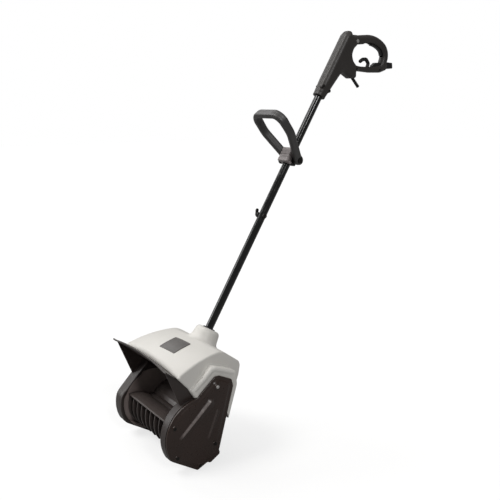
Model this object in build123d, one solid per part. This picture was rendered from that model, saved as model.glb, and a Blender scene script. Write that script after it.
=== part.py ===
from build123d import *
import math
import os

# ---------------------------------------------------------------- driving dimensions (mm)
# working axes: X across the head, +Y rearward, +Z up, zero on the rotor axis
HEAD_HALF = 150.0          # end plates, half width
LIP_HALF = 155.0           # throwing lip, half width
CAP_R = 101.0              # round end plates
CHAMBER_RI = 86.0          # drum behind the rotor, inner radius
SHEET = 3.0                # moulded wall
ROTOR_R = 79.0             # paddle tip radius
HUB_R = 18.0
ROD_R = 6.0                # rotor shaft
IN_L, IN_R = -122.0, 124.0  # inside faces of the two end walls
LIP_Y, LIP_Z = -95.0, 189.0
LIP_CROWN = 9.0            # rise of the lip's middle over its ends
TOP_Y, TOP_Z = 65.0, 208.0  # highest point of the hood's top
TOP_RX, TOP_RY = 700.0, 347.2   # its two radii, across and along
SHAFT_DEG = 58.9           # tube slope above the ground
NECK_Y, NECK_Z = 120.4, 217.1
TUBE_R, TUBE_T = 11.0, 1.3
S_JOINT, S_BOLT = 335.0, 354.0     # places along the tube, from the neck
S_CLAMP, S_HANDLE = 542.0, 741.0
S_TUBE_END = 852.0
MOTOR_Y, MOTOR_Z, MOTOR_R = 62.0, 130.0, 35.0
PULLEY_BIG, PULLEY_SMALL = 36.0, 9.0
BELT_T, BELT_X0, BELT_X1 = 2.4, 136.0, 146.0
GRIP_A, GRIP_RA = (693.0, 928.0), 92.6    # rear grip: wide arc over the top
GRIP_RB, GRIP_TURN = 35.0, 55.0           # tight arc at its rear, and the angle where the two meet
GRIP_RAD = 13.4
BAIL_N, BAIL_DEG, BAIL_OUT = 15.5, 126.3, 162.0   # bail bolt behind the tube, slope and reach of the bail
ORIGIN_Y, ORIGIN_Z = 712.0, 1018.6   # centre of the rear grip

os.makedirs("parts", exist_ok=True)
C, S = math.cos(math.radians(SHAFT_DEG)), math.sin(math.radians(SHAFT_DEG))
SHAFT = Plane(origin=(0, NECK_Y, NECK_Z), x_dir=(1, 0, 0), z_dir=(0, C, S)).location
TO_ROW = Pos(0, -ORIGIN_Y, -ORIGIN_Z)


def put(name, shape):
    export_step(TO_ROW * shape, "parts/%s.step" % name)


def sh(n, s):
    """point on the side plane: n rearward of the tube axis, s along it"""
    return (NECK_Y + s * C + n * S, NECK_Z + s * S - n * C)


def prism(pts, x0, x1):
    f = Plane.YZ.offset(x0) * make_face(Polyline(*pts, close=True))
    return extrude(f, amount=x1 - x0, dir=(1, 0, 0))


def xcyl(r, x0, x1, y=0.0, z=0.0):
    return Pos((x0 + x1) / 2, y, z) * Rot(0, 90, 0) * Cylinder(r, x1 - x0)


def xring(ro, ri, x0, x1, y=0.0, z=0.0):
    return xcyl(ro, x0, x1, y, z) - xcyl(ri, x0 - 1, x1 + 1, y, z)


def along(r, s0, s1, n=0.0, x=0.0):
    return SHAFT * Pos(x, n, (s0 + s1) / 2) * Cylinder(r, s1 - s0)


def bar(p, q, r):
    """round rod from p to q"""
    p, q = Vector(*p), Vector(*q)
    d = q - p
    return Plane(origin=(p + q) * 0.5, z_dir=d.normalized()).location * Cylinder(r, d.length)


def polar(r, deg):
    return (r * math.cos(math.radians(deg)), r * math.sin(math.radians(deg)))


# ---------------------------------------------------------------- throwing chamber
RO = CHAMBER_RI + SHEET
T_WIDE = 54.0              # where the throwing plate widens past the end plates
lip_ang = math.degrees(math.atan2(LIP_Z, LIP_Y))
PHI = lip_ang - math.degrees(math.acos(RO / math.hypot(LIP_Y, LIP_Z)))
TAN = math.sqrt(LIP_Y ** 2 + LIP_Z ** 2 - RO ** 2)
cf, sf = math.cos(math.radians(PHI)), math.sin(math.radians(PHI))


def L(rad, t):
    """point rad off the rotor axis on the throwing plate, t along the plate"""
    return (rad * cf - t * sf, rad * sf + t * cf)


def beyond(ny, nz, q, x0, x1):
    """everything past a flat that lies q off the rotor axis"""
    b, k = (q * ny, q * nz), (-nz, ny)
    return prism([(b[0] + 300 * k[0], b[1] + 300 * k[1]), (b[0] - 300 * k[0], b[1] - 300 * k[1]),
                  (b[0] - 300 * k[0] + 300 * ny, b[1] - 300 * k[1] + 300 * nz),
                  (b[0] + 300 * k[0] + 300 * ny, b[1] + 300 * k[1] + 300 * nz)], x0, x1)


def end_slab(r, rear, low, x0, x1):
    d = xcyl(r, x0, x1)
    d -= beyond(0.96, -0.28, rear, x0 - 1, x1 + 1)
    d -= beyond(0.41, -0.912, low, x0 - 1, x1 + 1)
    d -= beyond(-0.53, -0.848, low + 5.0, x0 - 1, x1 + 1)
    return d


def heel(d, x0, x1):
    """lower rear corner of the near end"""
    return prism([(30, -40), (49 - d, -50), (57 - d, -64 + 0.3 * d), (56 - d, -71.5 + 0.5 * d), (27, -89 + d), (0, -75)],
                 x0, x1)


REAR, LOW = 63.0, 84.5
FRONT_N, FRONT_Q = (-0.7156, 0.6985), 92.0     # straight upper edge of the left end plate


def left_plate(d, x0, x1):
    """left end plate's outline, d inside it, carried up to the throwing plate along its straight edge"""
    s = end_slab(CAP_R - d, REAR - d, LOW - d, x0, x1) - beyond(*FRONT_N, FRONT_Q - d, x0 - 1, x1 + 1)
    return s + prism([(-60, 70.2 - 1.4 * d), (-14.5, 116.8 - 1.4 * d), (-2, 108.5 - d), (-2, 80)], x0, x1)


sector = prism([(0, 0)] + [polar(140, a) for a in (-43, -20, 5, 30, PHI)], IN_L, IN_R)
liner = xring(RO, CHAMBER_RI, IN_L, IN_R) & sector
liner += prism([L(CHAMBER_RI, -0.01), L(RO, -0.01), L(RO, T_WIDE + 0.2), L(CHAMBER_RI, T_WIDE + 0.2)], IN_L, IN_R)


def plate_at(t, half, low, high, rise):
    """section of the throwing plate at t: arched across by rise, from low to high off the rotor axis"""
    y, z = L(0, t)
    pl = Plane(origin=(0, y, z), x_dir=(1, 0, 0), z_dir=(0, -sf, cf))
    if rise < 0.01:
        w = Polyline((-half, low), (half, low), (half, high), (-half, high), close=True)
        return pl * make_face(w)
    a = ThreePointArc((-half, low), (0, low + rise), (half, low))
    b = ThreePointArc((half, high), (0, high + rise), (-half, high))
    return pl * make_face([a, Line((half, low), (half, high)), b, Line((-half, high), (-half, low))])


liner += loft([plate_at(T_WIDE, 142.0, CHAMBER_RI, RO, 0.05), plate_at(TAN, 142.0, CHAMBER_RI, RO, LIP_CROWN)])
for sx in (-1, 1):
    wing = Plane(origin=(0, 0, 0), x_dir=(1, 0, 0), z_dir=(0, cf, sf)).location
    tri = make_face(Polyline((sx * 141.5, -TAN), (sx * LIP_HALF, -TAN), (sx * LIP_HALF, -TAN + 6),
                             (sx * 142, -TAN + 52), (sx * 141.5, -TAN + 52), close=True))
    w = extrude(Pos(0, 0, CHAMBER_RI) * tri, amount=SHEET, dir=(0, 0, 1))
    liner += wing * w
    side = prism([(-48, 77), L(RO - 0.2, TAN - 3), L(RO - 0.2, 91), (-16, 97)],
                 sx * 142 if sx < 0 else 139, sx * 139 if sx < 0 else 142)
    liner += side - (left_plate(-0.05, -160, -100) if sx < 0 else xcyl(CAP_R + 0.05, 100, 160))

# ---------------------------------------------------------------- end walls
cap_l = left_plate(0, -HEAD_HALF, IN_L)
cap_l -= end_slab(CAP_R - 4, REAR - 4, LOW - 4, -HEAD_HALF - 1, IN_L - 5) - beyond(*FRONT_N, FRONT_Q - 4, -160, -100)
cap_l += xcyl(22, -HEAD_HALF + 6, IN_L - 4.9)
for a in (20, 92, 164, 236, 308):
    rb = Rot(a, 0, 0) * (Pos(-HEAD_HALF + 14, 0, 50) * Box(18, 3, 62))
    cap_l += rb & (end_slab(CAP_R - 1, REAR - 1, LOW - 1, -HEAD_HALF + 4, IN_L - 4) - beyond(*FRONT_N, FRONT_Q - 1, -160, -100))
cap_l -= xcyl(13.0, -HEAD_HALF - 1, IN_L - 8)
cap_l -= xcyl(ROD_R + 0.6, -HEAD_HALF - 1, IN_L + 1)
lid_l = end_slab(CAP_R - 4.1, REAR - 4.1, LOW - 4.1, -HEAD_HALF - 1.5, -HEAD_HALF + 2.0) \
    - beyond(*FRONT_N, FRONT_Q - 4.1, -160, -100)
cap_l -= lid_l
cap_l = cap_l.solids().sort_by(SortBy.VOLUME)[-1]

POD_IN = [(-6, 103), (34, 163), (47, 165.5), (80, 154), (105, 139), (107, 108), (80, 34), (0, -20)]
POD_MOUTH = [(-7, 99), (44, 141.5), (57, 142.5), (90, 126), (95, 110), (74, 34), (0, -20)]
cap_r = end_slab(CAP_R, REAR, LOW, IN_R, HEAD_HALF) + heel(0, IN_R, HEAD_HALF)
cap_r -= end_slab(CAP_R - 3, REAR - 3, LOW - 3, IN_R + 3, HEAD_HALF + 1)
cap_r += xcyl(21, IN_R + 1, IN_R + 9)
cap_r -= prism(POD_IN, IN_R + 9.5, HEAD_HALF + 1)
cap_r -= xcyl(13.0, IN_R + 1.5, IN_R + 12)
cap_r -= xcyl(ROD_R + 0.6, IN_R - 1, IN_R + 12)

# ---------------------------------------------------------------- white hood
BODY = [(-64, 214), (66, 214), (72, 209), (151, 151), (155, 139), (149, 112), (112, 34), (80, -36), (60, -62),
        (45, -50), (0, 0), (-50, 150)]
BODY_IN = [(-56, 210), (64, 210), (69, 205.5), (147, 148.5), (150.5, 138), (145, 113), (108.5, 35), (84, -20),
           (40, 0), (0, 0), (-45, 150)]


def plan(d):
    pts = [(-154 + d, -120), (154 - d, -120), (154 - d, -64), (106.7 - d, 158), (-106.7 + d, 158), (-154 + d, -64)]
    return extrude(Pos(0, 0, -120) * make_face(Polyline(*pts, close=True)), amount=400, dir=(0, 0, 1))


def crown(d):
    """hood top, curved both ways, d below the outside"""
    return Pos(0, TOP_Y, TOP_Z - TOP_RX) * Rot(90, 0, 0) * Torus(TOP_RX - TOP_RY, TOP_RY - d)


POD = [(-13, 100), (-25.5, 121), (12, 149.5), (35, 170), (48, 172), (83, 159), (112, 146), (115.5, 108), (62, -65),
       (48, -58), (0, 0)]
outer = (prism(BODY, -156, 156) & plan(0)) & crown(0)
inner = (prism(BODY_IN, -153, 153) & plan(3.2)) & crown(3.5)
hood_out = outer
for sx in (-1, 1):
    a, b = sorted((sx * 100.0, sx * 152.0))
    hood_out = hood_out + prism(POD, a, b)
hood = hood_out - inner
hood -= prism(POD_IN, 104, 148.8)
hood -= prism(POD_MOUTH, 148.0, 153)
hood -= prism(POD_IN, -148.5, -104)
hood -= xcyl(RO + 0.3, -160, 160)
hood -= prism([L(RO + 0.3, -2), L(RO + 0.3, T_WIDE + 0.2), L(-60, T_WIDE + 0.2), L(-60, -2)], -142.3, 142.3)
hood -= loft([plate_at(T_WIDE + 0.1, 142.3, -60, RO + 0.3, 0.05), plate_at(TAN, 142.3, -60, RO + 0.3, LIP_CROWN)])
hood -= end_slab(CAP_R + 0.3, REAR + 0.3, LOW + 0.3, -161, IN_L + 0.3)
hood -= end_slab(CAP_R + 0.3, REAR + 0.3, LOW + 0.3, IN_R - 0.3, 161)
hood -= heel(-0.3, IN_R - 0.3, 161)
hood -= left_plate(-0.3, -161, IN_L + 0.3)
hood -= along(18.1, -90, 40)
parts_ = hood.solids().sort_by(SortBy.VOLUME)
hood = parts_[-1]

# neck that carries the tube
neck = SHAFT * Pos(0, 0, -27) * Cone(42.0, 33.5, 58.0)
neck = chamfer(neck.edges().filter_by(GeomType.CIRCLE).sort_by(Axis.Z)[-1], 4.5)
neck -= hood_out
neck = neck.solids().sort_by(SortBy.VOLUME)[-1]
neck += along(18.0, -64, 0.5)
neck -= along(TUBE_R + 0.02, -70, 20)
neck -= xcyl(2.6, -40, 40, *sh(0, -14))
seal = along(17.0, 2.0, 5.0) - along(TUBE_R + 0.02, 1, 8)
neck_screw = xcyl(2.5, -24.0, 24.0, *sh(0, -14))

# ---------------------------------------------------------------- belt cover on the +X side


def cover_solid(d, x0, x1):
    pts = [(-13 + 0.3 * d, 99 - 1.3 * d), (44, 147.5 - 1.3 * d), (58 - 0.2 * d, 147 - 1.2 * d), (95.5 - d, 129.5 - 0.8 * d),
           (100.5 - d, 110 - 0.3 * d), (53 - d, -66), (0, 0), (-40, 40)]
    return prism(pts, x0, x1) + end_slab(CAP_R - d, REAR - 4 - d, LOW - d, x0, x1) + heel(d, x0, x1)


cover = cover_solid(0.6, HEAD_HALF + 2.0, HEAD_HALF + 5)
step1 = cover_solid(4.0, HEAD_HALF + 4.9, HEAD_HALF + 8)
step2 = cover_solid(8.0, HEAD_HALF + 7.9, HEAD_HALF + 10.5)
cover = cover + step1 + step2
cover -= cover_solid(6.0, HEAD_HALF + 1, HEAD_HALF + 7.4)
cover += bar((HEAD_HALF + 9.5, 23, 89), (HEAD_HALF + 9.5, -67, 7), 3.2)
cover += bar((HEAD_HALF + 9.5, 46, 53), (HEAD_HALF + 9.5, 18, -17), 2.4)
cover += xcyl(10, HEAD_HALF + 6, HEAD_HALF + 12.5, 47, 121)
cover = cover.solids().sort_by(SortBy.VOLUME)[-1]
COVER_SCREWS = [(47, 121), (-78, 38), (-72, -44), (-6, -84), (40, -36)]
cover_screws = None
for (y, z) in COVER_SCREWS:
    base = HEAD_HALF + 12.5 if (y, z) == (47, 121) else HEAD_HALF + 10.5
    k = xcyl(4.4, base, base + 2.2, y, z) - Pos(base + 2.2, y, z) * Box(1.6, 1.2, 7)
    k += xcyl(1.9, base - 6, base + 0.1, y, z)
    cover -= xcyl(1.9, base - 6, base + 0.1, y, z)
    cover_screws = k if cover_screws is None else cover_screws + k

# ---------------------------------------------------------------- scraper under the drum
def scr(u, v):
    """u along the sloping underside from its front edge, v outward"""
    return (-12 + 0.912 * u + 0.41 * v, -97.6 + 0.41 * u - 0.912 * v)


scraper = prism([scr(-2, 0), scr(0, 0.4), scr(78, 0.4), scr(78, -2.6), scr(4, -2.6)], IN_L + 0.3, IN_R - 0.3)
scraper += prism([scr(66, -2.7), scr(66, 0.4), scr(82, 0.4), scr(82, -2.7)], IN_L + 0.3, IN_R - 0.3)
scraper -= xcyl(RO + 0.05, IN_L - 5, IN_R + 5) - xcyl(CHAMBER_RI - 0.05, IN_L - 6, IN_R + 6)
scraper = scraper.solids().sort_by(SortBy.VOLUME)[-1]
scraper_screws = None
sdir = (0.41, -0.912)
for x in (-96, -32, 34, 98):
    y, z = scr(72, 0.4)
    k = bar((x, y, z), (x, y + 2.2 * sdir[0], z + 2.2 * sdir[1]), 4.0)
    scraper_screws = k if scraper_screws is None else scraper_screws + k

# ---------------------------------------------------------------- rotor
rod = xcyl(ROD_R, -HEAD_HALF + 4, 150.5)
hub = xcyl(HUB_R, IN_L + 3, IN_R - 3) - xcyl(ROD_R, IN_L, IN_R)


def paddle(turn):
    front = [polar(r, turn + 151 - 34 * ((79 - r) / 62.0) ** 1.1) for r in (17, 26, 36, 46, 56, 66, 74, 79)]
    back = [polar(r, turn + 151 - 34 * ((79 - r) / 62.0) ** 1.1 + math.degrees(4.2 / r)) for r in
            (79, 74, 66, 56, 46, 36, 26, 17)]
    body = prism(front + back, IN_L + 4, IN_R - 4)
    web = [polar(17, turn + 122)] + [polar(r, turn + 151.5 - 34 * ((79 - r) / 62.0) ** 1.1) for r in (30, 46, 62, 76)]
    web += [polar(76.0, turn + a) for a in (160, 170, 180, 190, 200, 210)]
    web += [polar(66, turn + 221), polar(48, turn + 232), polar(30, turn + 244), polar(17, turn + 252)]
    n = 10
    for i in range(n):
        x = IN_L + 6 + (IN_R - IN_L - 15.5) * i / (n - 1)
        body += prism(web, x, x + 3.4)
    rear = [(70, 216.6), (66, 221), (48, 232), (30, 244), (17, 252)]
    skin = [polar(r, turn + q) for r, q in rear] + [polar(r, turn + q - math.degrees(3.0 / r)) for r, q in reversed(rear)]
    body += prism(skin, IN_L + 4, IN_R - 4)
    return body - xcyl(HUB_R, -160, 160)


paddle_a = paddle(4.5)
paddle_b = paddle(184.5)
paddle_a = paddle_a.solids().sort_by(SortBy.VOLUME)[-1]
paddle_b = paddle_b.solids().sort_by(SortBy.VOLUME)[-1]
bearing_l = xring(13.0, ROD_R + 0.03, -HEAD_HALF + 11, IN_L - 8)
bearing_r = xring(13.0, ROD_R + 0.03, IN_R + 1.5, IN_R + 8.5)

# ---------------------------------------------------------------- belt drive and motor
pulley_r = xring(PULLEY_BIG, ROD_R, BELT_X0, BELT_X1) + xring(PULLEY_BIG + 3.2, ROD_R, BELT_X0 - 1.5, BELT_X0 - 0.0)
for a in range(6):
    y, z = polar(23, 60 * a)
    pulley_r -= xcyl(6.5, BELT_X0 - 4, BELT_X1 + 2, y, z)
pulley_m = xring(PULLEY_SMALL, 4.0, BELT_X0 - 1, BELT_X1 + 1, MOTOR_Y, MOTOR_Z)
dist = math.hypot(MOTOR_Y, MOTOR_Z)
ang = math.degrees(math.atan2(MOTOR_Z, MOTOR_Y))


def belt_loop(d):
    r1, r2 = PULLEY_BIG + d, PULLEY_SMALL + d
    k = math.degrees(math.acos((r1 - r2) / dist))
    p = [polar(r1, ang + k), polar(r1, ang - k)]
    q = [(MOTOR_Y + polar(r2, ang - k)[0], MOTOR_Z + polar(r2, ang - k)[1]),
         (MOTOR_Y + polar(r2, ang + k)[0], MOTOR_Z + polar(r2, ang + k)[1])]
    s = prism([p[0], p[1], q[0], q[1]], BELT_X0 + 0.5, BELT_X1 - 0.5)
    return s + xcyl(r1, BELT_X0 + 0.5, BELT_X1 - 0.5) + xcyl(r2, BELT_X0 + 0.5, BELT_X1 - 0.5, MOTOR_Y, MOTOR_Z)


belt = belt_loop(0.25 + BELT_T) - belt_loop(0.25)

motor_can = xring(MOTOR_R, MOTOR_R - 9, -14, 84, MOTOR_Y, MOTOR_Z)
motor_can += xring(MOTOR_R - 2, 11.02, 84, 90, MOTOR_Y, MOTOR_Z)
motor_can += xring(MOTOR_R - 2, 11.02, -22, -14, MOTOR_Y, MOTOR_Z)
for a in range(8):
    y, z = polar(22, 45 * a + 20)
    motor_can -= xcyl(4.2, -30, -13, MOTOR_Y + y, MOTOR_Z + z)
motor_bear_a = xring(11.0, 4.03, -22, -15, MOTOR_Y, MOTOR_Z)
motor_bear_b = xring(11.0, 4.03, 84, 90, MOTOR_Y, MOTOR_Z)
armature = xcyl(4.0, -28, 149, MOTOR_Y, MOTOR_Z)
armature += xcyl(MOTOR_R - 10.5, 4, 60, MOTOR_Y, MOTOR_Z) + xcyl(13, -10, 0, MOTOR_Y, MOTOR_Z)
fan = xring(30, 4.0, 94, 97, MOTOR_Y, MOTOR_Z) + xring(9, 4.0, 94, 106, MOTOR_Y, MOTOR_Z)
for a in range(10):
    fan += Pos(101.0, MOTOR_Y, MOTOR_Z) * Rot(36 * a, 0, 0) * Pos(0, 0, 18.5) * Box(9, 1.8, 20)
bracket = prism([(28, 110), (28, 152), (46, 172), (84, 172), (104, 150), (104, 104), (84, 72), (71, 56), (54, 74)],
                40, 46)
bracket -= xcyl(MOTOR_R, 30, 50, MOTOR_Y, MOTOR_Z)
bracket -= xcyl(RO + 0.3, 30, 50)
bracket -= prism([L(RO, -2), L(RO, 200), L(0, 200), L(0, -2)], 30, 50)
bracket = bracket.solids().sort_by(SortBy.VOLUME)[-1]

# ---------------------------------------------------------------- two-part tube and its joint
lower = along(TUBE_R, -60, S_JOINT) - along(TUBE_R - TUBE_T, -61, S_JOINT + 1)
upper = along(TUBE_R, S_JOINT, S_TUBE_END) - along(TUBE_R - TUBE_T, S_JOINT - 1, S_TUBE_END + 1)
sleeve = along(TUBE_R - TUBE_T, S_JOINT - 60, S_JOINT + 60) - along(TUBE_R - TUBE_T - 1.2, S_JOINT - 61, S_JOINT + 61)
BY, BZ = sh(-2.0, S_BOLT)
upper -= xcyl(3.05, -20, 20, BY, BZ)
sleeve -= xcyl(3.05, -20, 20, BY, BZ)
by2, bz2 = sh(-2.0, S_JOINT - 36)
rivet = xcyl(2.5, -TUBE_R - 0.6, TUBE_R + 0.6, by2, bz2)
lower -= xcyl(2.5, -20, 20, by2, bz2)
sleeve -= xcyl(2.5, -20, 20, by2, bz2)
lower -= xcyl(2.5, -40, 40, *sh(0, -14))
joint_bolt = xcyl(3.0, -24, 12.5, BY, BZ) + xcyl(6.5, 12.0, 16.0, BY, BZ)
joint_bolt -= Pos(16.0, BY, BZ) * Box(2, 1.4, 10)
joint_bolt += xcyl(5.6, 11.1, 12.1, BY, BZ)
wing_nut = Pos(-16.2, BY, BZ) * Rot(0, 90, 0) * Cone(6.2, 8.0, 8.4)
for sx in (1, -1):
    n0, s0 = (-2.0, S_BOLT)
    w = [sh(n0 - sx * 3, s0 + 0), sh(n0 - sx * 5, s0 + sx * 13), sh(n0 - sx * 12, s0 + sx * 15),
         sh(n0 - sx * 14, s0 + sx * 9), sh(n0 - sx * 7, s0 - sx * 4)]
    wing_nut += prism(w, -21.0, -16.6)
wing_nut -= xcyl(3.05, -30, 0, BY, BZ)
wing_nut -= along(TUBE_R + 0.35, S_BOLT - 40, S_BOLT + 40)
lead = along(2.4, -66, 880, 5.6)

# ---------------------------------------------------------------- front bail handle and its clamp
BPY, BPZ = sh(BAIL_N, S_CLAMP)
DY, DZ = math.cos(math.radians(BAIL_DEG)), math.sin(math.radians(BAIL_DEG))
BAIL = Plane(origin=(0, BPY, BPZ), x_dir=(1, 0, 0), z_dir=(0, -DZ, DY)).location   # local y runs out to the grip


def bail_path():
    return FilletPolyline((21.7, 0, 0), (60.5, 98, 0), (58.5, BAIL_OUT, 0), (-58.5, BAIL_OUT, 0), (-60.5, 98, 0),
                          (-21.7, 0, 0), radius=27)


pth = bail_path()
sec_plane = Plane(origin=pth @ 0, x_dir=(0, 0, 1), z_dir=pth % 0)
bail = BAIL * sweep(sec_plane * RectangleRounded(25, 15, 6.2), path=pth)
for sx in (-1, 1):
    a, b = sorted((sx * 14.2, sx * 29.3))
    bail += xcyl(13.0, a, b, BPY, BPZ)
bail -= xcyl(3.05, -60, 60, BPY, BPZ)
bail -= xcyl(20, -14.1, 14.1, BPY, BPZ)
bail -= xcyl(9.0, 29.4, 60, BPY, BPZ) + xcyl(9.0, -60, -29.5, BPY, BPZ)
bail = bail.solids().sort_by(SortBy.VOLUME)[-1]


def across(pts, s0, s1):
    """outline across the tube (x, n) carried along it"""
    return extrude(SHAFT * Pos(0, 0, s0) * make_face(Polyline(*pts, close=True)), amount=s1 - s0, dir=(0, C, S))


S0, S1 = S_CLAMP - 22.0, S_CLAMP + 22.0
clamp_f = across([(-13.4, 0.1), (13.4, 0.1), (15, -4), (23, -17), (21, -22), (-21, -22), (-23, -17), (-15, -4)], S0, S1)
clamp_r = across([(-13.4, 0.5), (13.4, 0.5), (13.4, 18), (9, 23.5), (-9, 23.5), (-13.4, 18)], S_CLAMP - 17, S_CLAMP + 17)
for (s0, s1) in ((S0, S_CLAMP - 14.5), (S_CLAMP + 14.5, S1)):
    clamp_f += across([(-18.6, 0.1), (18.6, 0.1), (18.6, -7), (-18.6, -7)], s0, s1)
    clamp_r += across([(-18.6, 0.5), (18.6, 0.5), (18.6, 7), (-18.6, 7)], s0, s1)
clamp_f -= along(TUBE_R + 0.05, S_CLAMP - 60, S_CLAMP + 60)
clamp_r -= along(TUBE_R + 0.05, S_CLAMP - 60, S_CLAMP + 60)
clamp_r -= xcyl(3.05, -60, 60, BPY, BPZ)
clamp_screws = None
for x in (-15.0, 15.0):
    for s in (S_CLAMP - 18.2, S_CLAMP + 18.2):
        k = SHAFT * Pos(x, 1.5, s) * Rot(90, 0, 0) * Cylinder(1.7, 12)
        kh = SHAFT * Pos(x, 8.1, s) * Rot(90, 0, 0) * Cylinder(3.3, 2.2)
        clamp_f -= k
        clamp_r -= k
        clamp_r -= SHAFT * Pos(x, 16.0, s) * Rot(90, 0, 0) * Cylinder(3.7, 18)
        k = k + kh
        clamp_screws = k if clamp_screws is None else clamp_screws + k
bail_bolt = xcyl(3.0, -46.3, 29.7, BPY, BPZ) + xcyl(7.0, 29.5, 33.5, BPY, BPZ)
bail_bolt -= Pos(33.5, BPY, BPZ) * Box(2, 1.6, 11)
knob = xcyl(7.5, -40.5, -29.6, BPY, BPZ) + xcyl(13.0, -50, -40.0, BPY, BPZ)
for a in range(3):
    y, z = polar(13, 120 * a + 90)
    knob += xcyl(6.5, -50, -40.0, BPY + y, BPZ + z)
knob -= xcyl(3.03, -46.5, -20, BPY, BPZ)

# ---------------------------------------------------------------- rear handle
body_pts = [sh(-17, S_HANDLE), sh(17, S_HANDLE), sh(24, 800), sh(32, 844), (616, 905), (640, 906), (640, 925),
            (652, 927), (700, 924), (742, 925), (766, 933), (771, 950), (752, 950), (700, 940.5), (660, 941),
            (640, 944), (626, 955), (620, 972), (627, 990), (642, 1000), (642, 1028), (622, 1029), sh(-1, 960),
            sh(-10, 956), sh(-16, 940)]
body = prism(body_pts, -20, 20)
narrow = prism([(643, 870), (643, 1060), (830, 1060), (830, 870)], -21, -11.5) \
    + prism([(643, 870), (643, 1060), (830, 1060), (830, 870)], 11.5, 21)
body -= narrow
ALPHA = 95.0               # where the straight root of the grip meets its wide arc
GRIP_B = (GRIP_A[0] + (GRIP_RA - GRIP_RB) * math.cos(math.radians(GRIP_TURN)),
          GRIP_A[1] + (GRIP_RA - GRIP_RB) * math.sin(math.radians(GRIP_TURN)))
B_END = -20.0              # where the tight arc runs out


def on(c, r, deg):
    return (c[0] + r * math.cos(math.radians(deg)), c[1] + r * math.sin(math.radians(deg)))


def arc_bar(c, big, r, a0, a1):
    ring = Pos(0, c[0], c[1]) * Rot(0, 90, 0) * Torus(big, r)
    return ring & prism([c] + [on(c, 260, a0 + (a1 - a0) * i / 4) for i in range(5)], -30, 30)


def grip_solid(r, y0=612.0):
    p = on(GRIP_A, GRIP_RA, ALPHA)
    g = bar((0, y0, p[1] - (p[0] - y0) * math.tan(math.radians(ALPHA - 90))), (0, *p), r)
    g += arc_bar(GRIP_A, GRIP_RA, r, GRIP_TURN, ALPHA)
    g += arc_bar(GRIP_B, GRIP_RB, r, B_END, GRIP_TURN)
    q = on(GRIP_B, GRIP_RB, B_END)
    return g + bar((0, *q), (0, q[0] + 13 * math.sin(math.radians(B_END)), q[1] - 13 * math.cos(math.radians(B_END))), r)


handle = body + grip_solid(GRIP_RAD)
cav_pts = [sh(-13.5, 788), sh(21, 788), sh(30, 845), (617, 921), (616, 972), (622, 992), (640, 1004), (640, 1021),
           (622, 1024), sh(-1, 953), sh(-11, 945), sh(-13.5, 935)]
cavity = prism(cav_pts, -16.5, 16.5)
cavity += grip_solid(GRIP_RAD - 3.2, 616.0)
handle -= cavity
handle -= along(TUBE_R + 0.02, S_HANDLE - 20, S_TUBE_END + 0.3)


def ring_sector(c, r0, r1, a0, a1, x0, x1):
    n = 14
    return prism([on(c, r1, a0 + (a1 - a0) * i / n) for i in range(n + 1)]
                 + [on(c, r0, a1 + (a0 - a1) * i / n) for i in range(n + 1)], x0, x1)


def inside_grip(d0, d1, first, last, x0, x1):
    """band along the inside of the grip, d0 to d1 off its middle line"""
    return ring_sector(GRIP_A, GRIP_RA - d1, GRIP_RA - d0, GRIP_TURN, first, x0, x1) \
        + ring_sector(GRIP_B, GRIP_RB - d1, GRIP_RB - d0, last, GRIP_TURN, x0, x1)


handle -= inside_grip(1.0, 19.0, 104, -9, -6.6, 6.6)

# trigger along the inside of the grip, turning on a pin at its upper end
PVY, PVZ = 650.0, 1013.2
trigger = inside_grip(7.0, 16.6, 83, 0, -5.6, 5.6)
trigger += prism([(648, 1009.5), (648, 1016.9), (676, 1018.2), (706, 1011), (706, 1003), (683, 1011.0)], -3, 3)
trigger += xcyl(5.6, -3, 3, PVY, PVZ)
trigger += prism([(650, 1010.7), (650, 1016.7), (606, 1011.7), (600, 1010.2), (600, 1006.2)], -3, 3)
trigger -= xcyl(2.06, -9, 9, PVY, PVZ)
trigger_pin = xcyl(2.0, -10.6, 10.6, PVY, PVZ)
handle -= xcyl(2.0, -10.7, 10.7, PVY, PVZ)
spring_t = xring(4.4, 2.3, 3.4, 5.6, PVY, PVZ)
for k in range(2):
    spring_t -= xring(7, 3.8, 4.0 + 0.8 * k, 4.3 + 0.8 * k, PVY, PVZ)

switch = Pos(0, 603, 983.2) * Box(20, 17, 24)
switch += Pos(0, 603, 969.9) * Box(16, 10, 4)
plunger = Pos(0, 603.5, 1000.7) * Cylinder(2.6, 10.6)
switch -= Pos(0, 603.5, 995.5) * Cylinder(2.66, 14.0)

# lock-off button on the near side of the grip's root
LKY, LKZ = 634.0, 1012.0
lock = xcyl(5.4, 12.0, 20.0, LKY, LKZ) + xcyl(2.4, 7.0, 12.1, LKY, LKZ)
lock = fillet(lock.edges().filter_by(GeomType.CIRCLE).sort_by(Axis.X)[-1], 1.2)
handle -= xcyl(5.7, 9.4, 30, LKY, LKZ)
lock_spring = xring(4.2, 2.7, 7.2, 9.3, LKY, LKZ)

# cord hook in the lower part of the loop, with its tail through the rear end
hook_path = FilletPolyline((0, 690, 934), (0, 697, 951), (0, 687, 963), (0, 673, 962), (0, 664, 956.5), radius=5.5)
hook_sec = Plane(origin=hook_path @ 0, x_dir=(1, 0, 0), z_dir=hook_path % 0) * Circle(4.7)
hook = sweep(hook_sec, path=hook_path)
hook += prism([(712, 936), (709, 945), (722, 954), (752, 953.5), (764, 957), (793, 955.5), (795, 938.5), (766, 936)],
              -7, 7)
hook += prism([(682, 932), (682, 940), (714, 940), (714, 932)], -7, 7)
handle -= hook

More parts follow.
